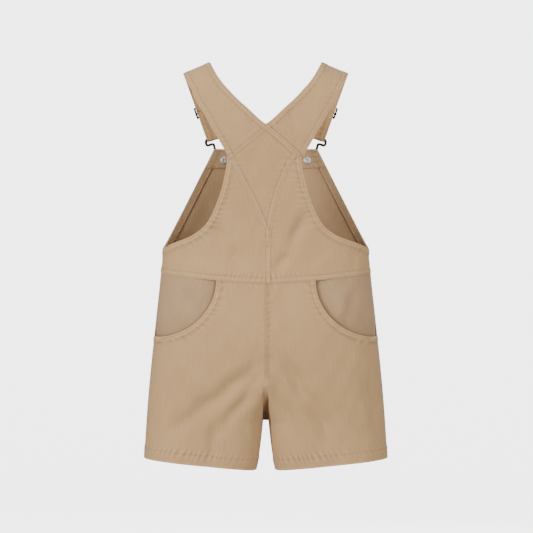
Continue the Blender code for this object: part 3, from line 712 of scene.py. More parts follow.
def back_panel(side, word):
    upper, lower, columns = PANEL_UPPER_ROWS, PANEL_LOWER_ROWS, PANEL_COLUMNS
    t = np.arange(upper + 1) / upper
    inner_z = blend(BACK_PANEL_TOP, YOKE_TIP, t ** 1.1)
    inner_x = yoke_edge(side, inner_z) + side * YOKE_GAP
    outer_z = blend(BACK_PANEL_TOP, ARMHOLE_BOTTOM, 1 - (1 - t) ** 1.75)
    shift = ARMHOLE_SHIFT * smooth(0, 20, outer_z - ARMHOLE_BOTTOM)
    outer_x = side * read(ARMHOLE, "half_width", outer_z) + shift
    t = np.arange(1, lower + 1) / lower
    centre = CENTRE_BACK + side * SEAM_GAP / 2
    low_z = blend(YOKE_TIP - TIP_STEP, WAIST_CENTRE + SEAM_GAP / 2, (t - t[0]) / (1 - t[0]))
    inner_x = np.concatenate([inner_x, np.full(lower, centre)])
    inner_z = np.concatenate([inner_z, low_z])
    side_z = blend(ARMHOLE_BOTTOM, waist(WAIST_HALF_WIDTH) + SEAM_GAP / 2, t)
    outer_x = np.concatenate([outer_x, side * read(BODY, "half_width", side_z)])
    outer_z = np.concatenate([outer_z, side_z])
    across = spread(columns)[None, :]
    x = blend(inner_x[:, None], outer_x[:, None], across)
    height = blend(inner_z[:, None], outer_z[:, None], across)
    down = smooth(0.3, 1, np.concatenate([np.zeros(upper + 1), t]))[:, None]
    height = blend(height, waist(x) + SEAM_GAP / 2 + (height - height[-1:, :]), down)
    height[-1] = waist(x[-1]) + SEAM_GAP / 2
    grid = form(BACK, x, height)
    grid[upper:, -1, 1] = BACK * SEAM_GAP / 2
    last = upper + lower
    seams = [
        ("last", EDGE, (0, upper)),
        ("bottom", FELLED, (0, columns)),
        ("first", BARE, (0, upper)),
        ("first", CENTRE_SEAM, (upper + 1, last), (3, 0)),
    ]
    keep = [(slice(last, None), slice(None), 2), (slice(upper, None), slice(columns, None), 1)]
    cloth(f"cloth_back_panel_{word}", f"back_panel_{word}", grid, BACK, seams, CANVAS, keep=keep)


def leg_outline(face):
    """Row by row: heights of the inner and outer end, and how far out the row ends."""
    inner, outer, out = [], [], []
    if face == BACK:
        start = waist(MOUTH_SIDE - MOUTH_WIDTH)
        for k in range(MOUTH_ROWS):
            angle = pi / 2 * (1 - (1 - k / MOUTH_ROWS) ** 1.7)
            inner.append(blend(WAIST_CENTRE, MOUTH_FOOT, (k / MOUTH_ROWS) ** 0.85))
            outer.append(start - MOUTH_DEPTH * np.sin(angle))
            out.append(MOUTH_SIDE - MOUTH_WIDTH * np.cos(angle))
        mouth = MOUTH_ROWS
        t = np.linspace(0, 1, SEAT_ROWS + 1)[:-1]
        inner.extend(blend(MOUTH_FOOT, FORK_START, t))
        outer.extend(blend(start - MOUTH_DEPTH - 0.2, FORK_START, t))
    else:
        mouth = 0
        t = np.linspace(0, 1, FRONT_ROWS + 1)[:-1]
        inner.extend(blend(WAIST_CENTRE, FORK_START, t))
        outer.extend(blend(waist(WAIST_HALF_WIDTH), FORK_START, t))
    t = np.arange(FORK_ROWS + 1) / FORK_ROWS
    heights = blend(FORK_START, CROTCH, np.sin(pi / 2 * t))
    inner.extend(heights)
    outer.extend(heights)
    crotch = len(inner) - 1
    t = np.linspace(0, 1, LOW_ROWS + 1)[1:]
    inner.extend(blend(CROTCH, HEM_CENTRE, t))
    outer.extend(blend(CROTCH, HEM_CENTRE + HEM_RISE, t))
    while len(out) < len(inner):
        out.append(float(read(BODY, "half_width", outer[len(out)])))
    return np.array(inner), np.array(outer), np.array(out), mouth, crotch


def leg_panel(face, side, word):
    columns = BACK_LEG_COLUMNS if face == BACK else FRONT_LEG_COLUMNS
    inner, outer, out, mouth, crotch = leg_outline(face)
    gap = read(LEG_GAP, "half_width", inner)
    t = spread(columns)
    x = gap[:, None] + (out - gap)[:, None] * t[None, :]
    height = blend(inner[:, None], outer[:, None], t[None, :])
    height[0] = waist(x[0]) - SEAM_GAP / 2
    grid = form(face, side * x, height)
    grid[mouth:, -1, 1] = face * SEAM_GAP / 2
    strip = grid[:, :1].copy()
    strip[:crotch + 1, 0, 0] = side * SEAM_GAP / 2
    strip[crotch + 1:, 0, 0] = grid[crotch + 1:, 0, 0] - side * STRIP_WIDTH
    grid = np.concatenate([strip, grid], axis=1)
    last = len(inner) - 1
    missing = (slice(crotch, None), slice(0, 1))
    middle_rows = int(np.argmin(np.abs(inner - FORK_START)))
    seams = [
        ("top", BARE, (0, columns + 1)),
        ("bottom", HEM, (0, columns + 1)),
        ("first", SEAT_SEAM if side == RIGHT else SEAT_UNDER, (0, middle_rows), (0, 12)),
    ]
    if mouth:
        seams.append(("last", MOUTH, (0, mouth - 1)))
        seams.append(("last", BARE, (mouth + 1, last), (6, 0)))
    else:
        seams.append(("last", BARE, (0, last)))
    keep = [
        (slice(0, 1), slice(None), 2),
        (slice(0, crotch), slice(0, 1), 0),
        (slice(crotch, None), slice(0, 2), 1),
        (slice(mouth, None), slice(-1, None), 1),
    ]
    word_face = "back" if face == BACK else "front"
    run = edge_measures(grid, "bottom", (1, columns + 1))[0]
    folded = HEM_FOLD * (1 - smooth(HEM.band - 0.4, HEM.band + 0.4, run))
    tacks = [bar_tack(*tack) for tack in BAR_TACKS if face == BACK and tack[0] * side > 0]
    cloth(f"cloth_{word_face}_leg_{word}", f"{word_face}_leg_{word}", grid, face, seams, CANVAS,
          missing=missing, keep=keep,
          inside=(folded, 0), more_lines=tacks)


def bar_tack(x, height, run_x, run_z):
    """A short dense row of thread across the end of a seam."""
    def lines(surface, normals, inner):
        t = np.linspace(-0.5, 0.5, 9)[:, None]
        places = np.array([x, height]) + np.array([run_x, run_z]) * t
        across = np.array([-run_z, run_x]) / np.hypot(run_x, run_z) * 1.5
        flat, outs = surface.reshape(-1, 3), normals.reshape(-1, 3)
        made = []
        for place in places:
            near = int(np.argmin(((flat[:, [0, 2]] - place) ** 2).sum(axis=1)))
            ends = [place - across, place + across]
            y = flat[near, 1] + outs[near, 1] * 0.15
            points = np.array([[end[0], y, end[1]] for end in ends])
            made.append((points, np.array([outs[near], outs[near]])))
        return made
    return lines


def pocket_facing(side, word):
    inner_limit = MOUTH_SIDE - MOUTH_WIDTH - POCKET_MARGIN
    t = np.arange(POCKET_STEPS + 1) / POCKET_STEPS
    down, across = t[:, None], (t ** 1.5)[None, :]
    width = across * np.sqrt(1 - down * down / 2)
    fall = down * np.sqrt(1 - across * across / 2)
    height = WAIST_CENTRE + 5 - (MOUTH_DEPTH + POCKET_MARGIN) * fall
    x = blend(read(BODY, "half_width", height), inner_limit, width)
    height = waist(x) - SEAM_GAP / 2 - (MOUTH_DEPTH + POCKET_MARGIN) * fall
    x = blend(read(BODY, "half_width", height), inner_limit, width)
    grid = form(BACK, side * x, height)
    grid[:, 0, 1] = BACK * SEAM_GAP / 2
    normals = grid_normals(grid, BACK)
    normals[0, :, 2] = 0
    normals[:, 0, 1] = 0
    normals = unit(normals)
    fall = np.maximum(waist(MOUTH_SIDE - MOUTH_WIDTH) - height, 0) / MOUTH_DEPTH
    out = (MOUTH_SIDE - x) / MOUTH_WIDTH
    reach = np.hypot(out, fall)
    middle = hill(np.arctan2(fall, out), pi / 4, 0.6)
    deep = WALL + POCKET_STEP + 0.4 + POCKET_GAPE * middle
    sink = blend(0.05, deep, smooth(0.66, 0.96, reach))
    grid = grid - normals * sink[..., None]
    shade = -0.75 * hill((1 - reach) * MOUTH_WIDTH, 0, 2.6) - 0.3 * smooth(0.8, 1, reach)
    keep = [(slice(0, 1), slice(None), 2), (slice(None), slice(0, 1), 1)]
    cloth(f"cloth_pocket_facing_{word}", f"pocket_facing_{word}", grid, BACK,
          [("top", BARE, (0, POCKET_STEPS)), ("first", BARE, (0, POCKET_STEPS))], CANVAS_INSIDE_SHADED,
          keep=keep,
          outside=(0, shade))


def bib_half_width(height):
    flared = BIB_TOP_HALF_WIDTH + BIB_FLARE * (BIB_TOP - height)
    return np.minimum(flared, read(BODY, "half_width", height))


def bib_grid(heights, columns, whole):
    half = bib_half_width(heights)
    t = np.sin(pi / 2 * (2 * np.arange(columns + 1) / columns - 1))
    x = half[:, None] * t[None, :]
    height = np.broadcast_to(heights[:, None], x.shape).copy()
    if whole:
        near = smooth(ARMHOLE_BOTTOM, WAIST_CENTRE + WAIST_RISE, heights)[:, None]
        height = blend(height, waist(x) + SEAM_GAP / 2 + height - heights[-1], near)
    grid = form(FRONT, x, height)
    at_side = half >= read(BODY, "half_width", heights) - 0.01
    grid[at_side, 0, 1] = SEAM_GAP / 2
    grid[at_side, -1, 1] = SEAM_GAP / 2
    return grid, at_side


def front_bib():
    heights = np.linspace(BIB_TOP, waist(WAIST_HALF_WIDTH), BIB_ROWS)
    grid, at_side = bib_grid(heights, BIB_COLUMNS, True)
    corner = int(np.argmax(at_side))
    last = len(heights) - 1
    seams = [
        ("first", BIB_HEM, (0, corner)),
        ("last", BIB_HEM, (0, corner)),
        ("top", TOP_EDGE, (0, BIB_COLUMNS)),
        ("bottom", FELLED, (0, BIB_COLUMNS)),
    ]
    keep = [
        (slice(last, None), slice(None), 2),
        (slice(corner, None), slice(0, 1), 1),
        (slice(corner, None), slice(-1, None), 1),
    ]
    folded, shade, lines = 0, 0, []
    for edge in ("first", "last"):
        measures = edge_measures(grid, edge, (0, corner + 6), (0, 8))
        folded = folded + turned_hem(*measures)
        shade = shade + hem_shade(*measures)
        lines.append(inner_line(measures, edge, BIB_HEM.rows[0]))
    cloth("cloth_front_bib", "front_bib", grid, FRONT, seams, CANVAS_BIB_SHADED, keep=keep,
          inside=(folded, shade),
          more_lines=lines)


def turned_hem(run, place, inside):
    """Extra thickness of a hem that is turned to the inside, with its puckers."""
    step = BIB_HEM_STEP * (1 - smooth(BIB_HEM.band - 0.3, BIB_HEM.band + 0.5, run))
    groove = 0.3 * hill(run, BIB_HEM.rows[0], 0.8)
    ripple = 0.25 * np.sin(2 * pi * (place / BIB_HEM.pitch + 0.3 * np.sin(place / 13)))
    return inside * (step - groove + ripple * hill(run, BIB_HEM.band, 5))


def hem_shade(run, place, inside):
    """The dark line where the turned hem ends, and the light on its folds."""
    dark = hill(run, BIB_HEM.band + 0.5, 0.75)
    light = 0.4 * hill(run, BIB_HEM.band - 1.3, 1.2) + 0.3 * hill(run, 0, 1.2)
    return inside * (light - dark)


def inner_line(measures, edge, distance):
    """A row of stitches on the inner surface."""
    def lines(surface, normals, inner):
        return [line_at(inner, -normals, measures, edge, distance)]
    return lines


def bib_facing():
    """The strip inside the bib's top, between the buttons and the hems."""
    heights = np.linspace(BIB_TOP - 0.5, BIB_TOP - BIB_FACING_HEIGHT, FACING_ROWS)
    grid, _ = bib_grid(heights, FACING_COLUMNS, False)
    normals = grid_normals(grid, FRONT)
    grid = grid - normals * (WALL + LAYER_GAP + FACING_WALL + 0.3)
    cloth("cloth_bib_facing", "bib_facing", grid, BACK,
          [("bottom", FACING_EDGE, (0, FACING_COLUMNS)), ("top", TOP_EDGE, (0, FACING_COLUMNS)),
           ("first", BIB_HEM, (0, FACING_ROWS - 1)), ("last", BIB_HEM, (0, FACING_ROWS - 1))],
          CANVAS_BIB_SHADED, wall=FACING_WALL)


def front_strap_rows(side, places, columns):
    t = spread(columns)[None, :, None]
    place = np.asarray(places, dtype=float)
    outer_x = STRAP_TOP_OUTER - STRAP_RUN_IN * place
    outer_z = crest(STRAP_TOP_OUTER) - STRAP_DROP * place
    neck_x = NECK_HALF_WIDTH - STRAP_RUN_IN * place
    neck_z = SHOULDER_TOP - (STRAP_DROP + STRAP_TWIST) * place
    first = form(FRONT, side * outer_x, outer_z, fine=False)[:, None, :]
    last = form(FRONT, side * neck_x, neck_z, fine=False)[:, None, :]
    rows = first + (last - first) * t
    rows[..., 1] += (STRAP_LIFT * smooth(0.45, 0.9, place))[:, None]
    return rows


def bar_frame(side):
    """Centre, directions and turning radius of the strap's loop round the buckle bar."""
    low, above = front_strap_rows(side, [1, 0.9], 1)
    across = unit(low[-1] - low[0])
    along = unit(low.sum(axis=0) - above.sum(axis=0))
    along = unit(along - across * along.dot(across))
    out = np.cross(across, along)
    if out[1] < 0:
        out = -out
    radius = WIRE_RADIUS + BAR_CLEARANCE + LOOP_STAND
    return low.mean(axis=0) - out * radius, across, along, out, radius


def strap_back(side, t):
    """Yoke and back of a strap, how far each row lies under the other, and the yoke's keys."""
    Key = namedtuple("Key", "index outer_out outer_height neck_out neck_height under")
    keys = []
    for place in reversed(YOKE[2:]):
        keys.append(Key(len(keys), -place.left, place.height, -place.right, place.height, 1))
    corner = len(keys)
    for station in STRAP_BACK:
        keys.append(Key(len(keys), *station))
    low = np.linspace(0, corner, corner * ROWS_PER_KEY + 1)
    top = len(keys) - 1
    high = np.linspace(corner, top, (top - corner) * ROWS_PER_KEY + 1)[1:]
    # The yoke and the strap are read apart, so that the corner between them stays sharp
    column = {}
    for name in Key._fields[1:]:
        parts = read(keys[:corner + 1], name, low), read(keys[corner:], name, high)
        column[name] = np.concatenate(parts)[:, None]
    x = side * blend(column["outer_out"], column["neck_out"], t)
    height = blend(column["outer_height"], column["neck_height"], t)
    return form(BACK, x, height), column["under"][:, 0], corner


def strap_top(side, t):
    """The roll over the shoulder, from the back up to its ridge."""
    turn = np.concatenate([np.linspace(0.68, 0.95, 16), 1 - 0.05 * np.linspace(0.88, 0, 9) ** 2])
    turn = turn[turn < 1]
    outer = read(STRAP_TOP, "outer_out", turn)[:, None]
    neck = read(STRAP_TOP, "neck_out", turn)[:, None]
    x = side * blend(outer, neck, t)
    top = form(BACK, x, blend(ROLL_START, crest(x), turn[:, None]), fine=False)
    x = side * blend(STRAP_TOP_OUTER, NECK_HALF_WIDTH, t)
    return top, np.stack([x, np.zeros_like(x), crest(x)], axis=-1)


def strap(side, word, over):
    """Yoke, back, shoulder, front, turn round the buckle's bar, and doubled end."""
    t = spread(STRAP_COLUMNS)[None, :]
    back, under, corner = strap_back(side, t)
    top, ridge = strap_top(side, t)
    places = [0.002, 0.006, 0.014, 0.026, 0.042, 0.06, *np.linspace(0.08, 1, 64)]
    front = front_strap_rows(side, places, STRAP_COLUMNS)
    middle, across, along, out, radius = bar_frame(side)
    width = np.linalg.norm(front[-1, -1] - front[-1, 0])
    angle = (pi * np.arange(1, TURN_STEPS + 1) / TURN_STEPS)[:, None, None]
    line = middle + across * width * (t[..., None] - 0.5)
    turned = line + (out * np.cos(angle) + along * np.sin(angle)) * radius
    places = np.linspace(1, 1 - DOUBLED_BACK, 28)[1:]
    inner = front_strap_rows(side, places, STRAP_COLUMNS) - out * 2 * radius
    grid = np.concatenate([back, top, ridge, front, turned, inner])
    if not over:
        lift = np.zeros(len(grid))
        lift[:len(back)] = under
        grid = grid + grid_normals(grid, BACK) * (STRAP_UNDERLAP * lift)[:, None, None]
    start = 0 if over else corner * ROWS_PER_KEY
    seams = [(edge, STRAP_EDGE, (start, len(grid) - 1), (16, 0)) for edge in ("first", "last")]
    row = np.arange(len(grid))[:, None]
    wave = 0.3 * np.sin(row / 6.5 + side) * np.sin(pi * t) * (row > len(back))
    shade, more = 0, []
    if over:
        step, shade, more = underlap_mark(grid)
        wave = wave + step
    cloth(f"cloth_strap_{word}", f"strap_{word}", grid, BACK, seams, CANVAS, wall=STRAP_WALL,
          outside=(wave, shade), more_lines=more)


def underlap_mark(grid):
    """The step and two stitch rows where the other strap's edge lies under the yoke."""
    start, end = UNDERLAP_START, UNDERLAP_END
    run = unit(end - start)
    beside = np.array([run[1], -run[0]])
    if beside[1] > 0:
        beside = -beside
    place = grid[..., [0, 2]] - start
    along = place @ run
    below = place @ beside
    reach = np.linalg.norm(end - start)
    inside = smooth(-6, 4, along) * (1 - smooth(reach - 2, reach + 6, along))
    on_back = smooth(10, 30, -grid[..., 1])
    step = 0.55 * smooth(-1.2, 1.2, below) * (1 - smooth(6, 26, below))
    grooves = sum(-0.3 * hill(below, row, 0.8) for row in UNDERLAP_ROWS)
    relief = (step + grooves) * inside * on_back
    shade = 1.6 * grooves * inside * on_back

    def stitched(row):
        def line(surface, normals, inner):
            steps = np.linspace(3, reach - 1, 60)
            wanted = start + run * steps[:, None] + beside * row
            flat = surface[:UNDERLAP_SEARCH_ROWS].reshape(-1, 3)
            outs = normals[:UNDERLAP_SEARCH_ROWS].reshape(-1, 3)
            apart = ((flat[None, :, [0, 2]] - wanted[:, None]) ** 2).sum(axis=-1)
            nearest = apart.argmin(axis=1)
            points = flat[nearest].copy()
            points[:, 0] = wanted[:, 0]
            points[:, 2] = wanted[:, 1]
            return [(points, outs[nearest])]
        return line

    return relief, shade, [stitched(row) for row in UNDERLAP_ROWS]


def new_material(name, values):
    """A material with values set on its shader, with its node tree and the shader."""
    material = bpy.data.materials.new(name)
    material.use_nodes = True
    shader = material.node_tree.nodes["Principled BSDF"]
    for socket, value in values.items():
        shader.inputs[socket].default_value = value
    return material, material.node_tree, shader


def add_node(tree, kind, sources=None, values=None, **settings):
    """A shader node with what feeds its sockets, their values and its own settings."""
    made = tree.nodes.new("ShaderNode" + kind)
    for name, value in settings.items():
        setattr(made, name, value)
    for socket, value in (values or {}).items():
        made.inputs[socket].default_value = value
    for socket, source in (sources or {}).items():
        tree.links.new(source, made.inputs[socket])
    return made


def add_noise(tree, vector, scale, detail=2, roughness=0.5):
    values = {"Scale": scale, "Detail": detail, "Roughness": roughness}
    return add_node(tree, "TexNoise", {"Vector": vector}, values).outputs["Fac"]


def add_ramp(tree, source, dark, colour, low=0, high=1):
    ramp = add_node(tree, "ValToRGB", {"Fac": source})
    for element, place, tone in zip(ramp.color_ramp.elements, (low, high), (dark, colour)):
        element.position = place
        element.color = (*tone, 1)
    return ramp.outputs["Color"]


def canvas(name, colour, dark):
    """Plain-woven cotton: crossing threads, slubs, faint mottling and a dry bloom."""
    material, tree, shader = new_material(name, {
        "Roughness": 0.92, "Specular IOR Level": 0.18, "Sheen Weight": 0.18, "Sheen Roughness": 0.5,
    })
    uv = add_node(tree, "UVMap", uv_map="cloth").outputs["UV"]
    where = add_node(tree, "TexCoord").outputs["Object"]
    blotch = add_noise(tree, where, 26, 5, 0.62)
    slub_map = add_node(tree, "Mapping", {"Vector": uv}, {"Scale": (2.4, 0.22, 1)})
    slub = add_noise(tree, slub_map.outputs["Vector"], 1, 3)
    scaled = add_node(tree, "Math", {0: blotch}, {1: 0.6}, operation="MULTIPLY")
    mixed = add_node(tree, "Math", {0: slub, 2: scaled.outputs[0]}, {1: 0.4},
                     operation="MULTIPLY_ADD")
    tint = add_ramp(tree, mixed.outputs[0], dark, colour, 0.32, 0.68)
    # The attribute read here scales the colour: fading from use, and painted shade and highlights
    # along seams, stitch rows, hems, pocket mouths and the strap's underlap.
    wear_and_shade = add_node(tree, "Attribute", attribute_name="wear_and_shade")
    tone = add_node(tree, "MapRange", {"Value": wear_and_shade.outputs["Fac"]},
                    {"To Min": 0.45, "To Max": 1.35})
    line_map = add_node(tree, "Mapping", {"Vector": uv}, {"Scale": (0.75, 0.045, 1)})
    streak = add_noise(tree, line_map.outputs["Vector"], 1, 2)
    streaked = add_node(tree, "MapRange", {"Value": streak},
                        {"From Min": 0.3, "From Max": 0.7, "To Min": 0.95, "To Max": 1.05})
    both = add_node(tree, "Math", {0: tone.outputs["Result"], 1: streaked.outputs["Result"]},
                    operation="MULTIPLY")
    toned = add_node(tree, "VectorMath", {0: tint, "Scale": both.outputs[0]}, operation="SCALE")
    tree.links.new(toned.outputs["Vector"], shader.inputs["Base Color"])
    across, down = (
        add_node(tree, "TexWave", {"Vector": uv}, {"Scale": 0.52, "Distortion": 0.6, "Detail": 1},
                 bands_direction=direction).outputs["Fac"]
        for direction in ("X", "Y")
    )
    weave = add_node(tree, "Math", {0: across, 1: down}, operation="ADD")
    grain = add_noise(tree, where, 900, 3)
    fine = add_node(tree, "Bump", {"Height": weave.outputs[0]},
                    {"Strength": 0.35, "Distance": 0.00018})
    coarse = add_node(tree, "Bump", {"Height": grain, "Normal": fine.outputs["Normal"]},
                      {"Strength": 0.4, "Distance": 0.0003})
    tree.links.new(coarse.outputs["Normal"], shader.inputs["Normal"])
    return material


def thread(name, colour, dark):
    material, tree, shader = new_material(name, {"Roughness": 0.75, "Sheen Weight": 0.15})
    noise = add_noise(tree, add_node(tree, "TexCoord").outputs["Object"], 300)
    tree.links.new(add_ramp(tree, noise, dark, colour), shader.inputs["Base Color"])
    return material


def metal(name, colour, dark, roughness, metallic):
    """Metal with faint signs of use: the roughness and colour vary over the surface."""
    material, tree, shader = new_material(name, {"Metallic": metallic})
    noise = add_noise(tree, add_node(tree, "TexCoord").outputs["Object"], 420, 4)
    tint = add_ramp(tree, noise, dark, colour, 0.35, 0.7)
    tree.links.new(tint, shader.inputs["Base Color"])
    rough = add_node(tree, "MapRange", {"Value": noise},
                     {"To Min": roughness - 0.08, "To Max": roughness + 0.12})
    tree.links.new(rough.outputs["Result"], shader.inputs["Roughness"])
    bump = add_node(tree, "Bump", {"Height": noise}, {"Strength": 0.2, "Distance": 0.0001})
    tree.links.new(bump.outputs["Normal"], shader.inputs["Normal"])
    return material


CANVAS = canvas("canvas", (0.590, 0.366, 0.174), (0.540, 0.328, 0.152))
# A darker copy of the canvas for the pocket facings: painted shade, as they lie under the pocket
# mouths.
CANVAS_INSIDE_SHADED = canvas("canvas_inside", (0.50, 0.32, 0.172), (0.46, 0.288, 0.150))
# A darker copy of the canvas for the bib and its facing: painted shade, as the bib's inside lies in
# shadow behind the back.
CANVAS_BIB_SHADED = canvas("canvas_bib_shaded", (0.50, 0.32, 0.172), (0.46, 0.288, 0.150))
THREAD = thread("thread", (0.60, 0.41, 0.24), (0.42, 0.27, 0.15))
DARK_WIRE = metal("dark_wire", (0.050, 0.030, 0.024), (0.020, 0.012, 0.010), 0.60, 0.35)
STEEL = metal("steel", (0.70, 0.68, 0.66), (0.52, 0.50, 0.48), 0.42, 0.7)


def button_seat(side):
    """Where a button stands on the bib, and the direction out of the cloth there."""
    def near(right, up):
        return form(FRONT, side * BUTTON_OUT + right, BUTTON_HEIGHT + up, fine=False)

    out = unit(np.cross(near(2, 0) - near(-2, 0), near(0, 2) - near(0, -2)))
    return near(0, 0), out if out[1] > 0 else -out


def add_hardware(thing, node, material):
    thing.data.materials.append(material)
    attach(thing, "root")
    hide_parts(node)


def buckle(side, word):
    """A bent wire hook: a wide bar in the strap's loop, an eye, and a slot for the button."""
    middle, across, along, out, radius = bar_frame(side)
    seat, seat_out = button_seat(side)
    stand = WIRE_RADIUS + WIRE_STAND
    foot = seat + seat_out * stand
    reach = np.linalg.norm(middle - foot)
    up = (middle - foot) / reach
    loop = front_strap_rows(side, [1], 1)[0]
    half_bar = np.linalg.norm(loop[-1] - loop[0]) / 2 + WIRE_RADIUS + 0.5
    half_outline = [
        (0, reach),
        (half_bar - 2.2, reach),
        (half_bar - 0.6, reach - 0.7),
        (half_bar, reach - 2.4),
        (half_bar, reach - 5),
        (half_bar - 0.8, reach - 6.8),
        (half_bar - 2.6, reach - 7.4),
        (12.2, reach - 7.4),
        (10.4, reach - 8.1),
        (9.7, reach - 9.9),
        (9.4, reach - 14),
        (8.2, reach - 18),
        (5.6, reach - 21.5),
        (4.1, reach - 24.5),
        (3.7, reach - 28),
        (3.7, 0),
        (3.2, -1.9),
        (1.9, -3.2),
        (0, -3.7),
    ]
    outline = half_outline + [(-u, v) for u, v in reversed(half_outline[1:-1])]
    curve = bpy.data.curves.new(f"wire_{word}", "CURVE")
    curve.dimensions = "3D"
    curve.bevel_depth = WIRE_SHOWN * MM
    curve.bevel_resolution = 5
    curve.resolution_u = 6
    spline = curve.splines.new("BEZIER")
    spline.bezier_points.add(len(outline) - 1)
    spline.use_cyclic_u = True
    for k, (u, v) in enumerate(outline):
        straight = foot + across * u + up * v
        on_bib = form(FRONT, straight[0], straight[2], fine=False) + seat_out * stand
        point = blend(on_bib, straight, smooth(0.52, 0.82, v / reach))
        knot = spline.bezier_points[k]
        knot.co = Vector(point) * MM
        knot.handle_left_type = "AUTO"
        knot.handle_right_type = "AUTO"
    add_hardware(link_new(f"hook_{word}", curve), f"buckle_{word}", DARK_WIRE)


def turned(name, profile, steps=40):
    """A turned mesh from (radius, height) points, top down."""
    mesh = bmesh.new()
    points = [mesh.verts.new((radius * MM, 0, height * MM)) for radius, height in profile]
    edges = [mesh.edges.new(pair) for pair in zip(points, points[1:])]
    bmesh.ops.spin(mesh, geom=points + edges, cent=(0, 0, 0), axis=(0, 0, 1), angle=2 * pi,
                   steps=steps, use_merge=True)
    bmesh.ops.remove_doubles(mesh, verts=mesh.verts, dist=0.000005)
    bmesh.ops.recalc_face_normals(mesh, faces=mesh.faces)
    data = bpy.data.meshes.new(name)
    mesh.to_mesh(data)
    mesh.free()
    data.shade_smooth()
    data.set_sharp_from_angle(angle=radians(50))
    return link_new(name, data)


def stand_on(thing, place, out):
    turn = Vector(out).to_track_quat("Z", "Y").to_matrix().to_4x4()
    thing.matrix_world = Matrix.Translation(Vector(place) * MM) @ turn


def arc(centre, height, radius, count, first, last):
    """Points on an arc from one angle to another, as (radius, height)."""
    angles = np.linspace(first, last, count)
    return [(centre + radius * np.cos(a), height + radius * np.sin(a)) for a in angles]


def button(side, word):
    seat, out = button_seat(side)
    under = 2 * WIRE_RADIUS + 0.9
    profile = [(0, under + 2.1), (2.0, under + 2.1), (2.6, under + 1.9), (3.4, under + 2.2)]
    profile += [(BUTTON_RADIUS * 0.6, under + 2.35), (BUTTON_RADIUS * 0.82, under + 2.0)]
    profile += arc(BUTTON_RADIUS - 0.9, under + 0.9, 0.9, 7, radians(60), radians(-90))
    profile += [(BUTTON_NECK, under), (BUTTON_NECK, 0), (0, 0)]
    thing = turned(f"stud_{word}", profile)
    stand_on(thing, seat + out * SEAM_GAP, out)
    add_hardware(thing, f"button_{word}", DARK_WIRE)


def rivet(side, word):
    seat, out = button_seat(side)
    profile = [
        (0, RIVET_DEPTH - 0.35),
        (0.7, RIVET_DEPTH - 0.32),
        (1.3, RIVET_DEPTH - 0.12),
        (1.9, RIVET_DEPTH),
        (2.9, RIVET_DEPTH + 0.05),
        (3.9, RIVET_DEPTH - 0.1),
        (4.6, RIVET_DEPTH - 0.45),
        (4.95, RIVET_DEPTH - 0.95),
        (RIVET_RADIUS, 0.3),
        (4.8, 0),
        (0, 0),
    ]
    thing = turned(f"tack_{word}", profile)
    stand_on(thing, seat - out * (RIVET_STAND + SEAM_GAP), -out)
    add_hardware(thing, f"rivet_{word}", STEEL)


def slider(side, word):
    """A three-bar slider: two rounded rails outside the strap, joined by bars through it."""
    row = front_strap_rows(side, [SLIDER_PLACE], 2)[0]
    up_row, low_row = front_strap_rows(side, [SLIDER_PLACE - 0.05, SLIDER_PLACE + 0.05], 2)
    surface = Vector(row[1])
    along = Vector(low_row[1] - up_row[1]).normalized()
    across = Vector(row[-1] - row[0]).normalized()
    across = (across - along * across.dot(along)).normalized()
    normal = across.cross(along)
    if normal.y < 0:
        normal, across = -normal, -across
    axes = Matrix((across, along, normal)).transposed().to_4x4()
    half = np.linalg.norm(row[-1] - row[0]) / 2 + SLIDER_RAIL / 2 + RAIL_CLEARANCE
    middle_depth = -(STRAP_WALL + BAR_CLEARANCE + SLIDER_BAR + 0.1)
    front_depth = SLIDER_BAR + 0.9
    end_bar = SLIDER_HEIGHT / 2 - SLIDER_BAR
    low, high = middle_depth - SLIDER_BAR - 0.2, front_depth + SLIDER_BAR + 0.2
    mesh = bmesh.new()
    for end in (-1, 1):
        size = Matrix.Diagonal((SLIDER_RAIL, SLIDER_HEIGHT, high - low, 1))
        place = Matrix.Translation((end * half, 0, (low + high) / 2))
        bmesh.ops.create_cube(mesh, size=1, matrix=place @ size)
    bmesh.ops.bevel(mesh, geom=list(mesh.edges), offset=0.7, segments=3, affect="EDGES")
    bars = [(-end_bar, front_depth, 0), (0, middle_depth, 1.6), (end_bar, front_depth, 0)]
    for place, depth, past in bars:
        turn = Matrix.Translation((0, place, depth)) @ Matrix.Rotation(pi / 2, 4, "Y")
        bmesh.ops.create_cone(mesh, cap_ends=True, segments=20, radius1=SLIDER_BAR,
                              radius2=SLIDER_BAR, depth=2 * (half + past), matrix=turn)
    mesh.transform(Matrix.Scale(MM, 4) @ Matrix.Translation(surface) @ axes)
    data = bpy.data.meshes.new(f"adjuster_{word}")
    mesh.to_mesh(data)
    mesh.free()
    data.shade_smooth()
    data.set_sharp_from_angle(angle=radians(40))
    add_hardware(link_new(data.name, data), f"slider_{word}", DARK_WIRE)


# Stage, lights and camera, in metres and watts
FLOOR_START = -5.0
FLOOR_HEIGHT = -0.95
WALL_PLACE = 4.4
WALL_TOP = 4.0
SWEEP_RADIUS = 1.2
SWEEP_STEPS = 12
SWEEP_HALF_WIDTH = 6.0
PAPER_GLOW = 3.8

Lamp = namedtuple("Lamp", "name place size power")
LAMPS = [
    Lamp("key", (-2.3, -1.8, 0.35), 0.8, 84),
    Lamp("fill", (1.5, -2.5, 0.3), 1.4, 60),
    Lamp("top", (0.2, -0.6, 2.0), 1.2, 18),
    Lamp("front", (0.9, 2.6, 0.4), 1.4, 40),
]
LIT_POINT = Vector((0, 0, -0.26))
DAYLIGHT = 0.3

CAMERA_PLACE = (0.0009, -2.6, -0.253)
CLOTH_TO_CAMERA = 2.56
PIXEL = 0.00125
IMAGE_WIDTH = 533
SENSOR = 36


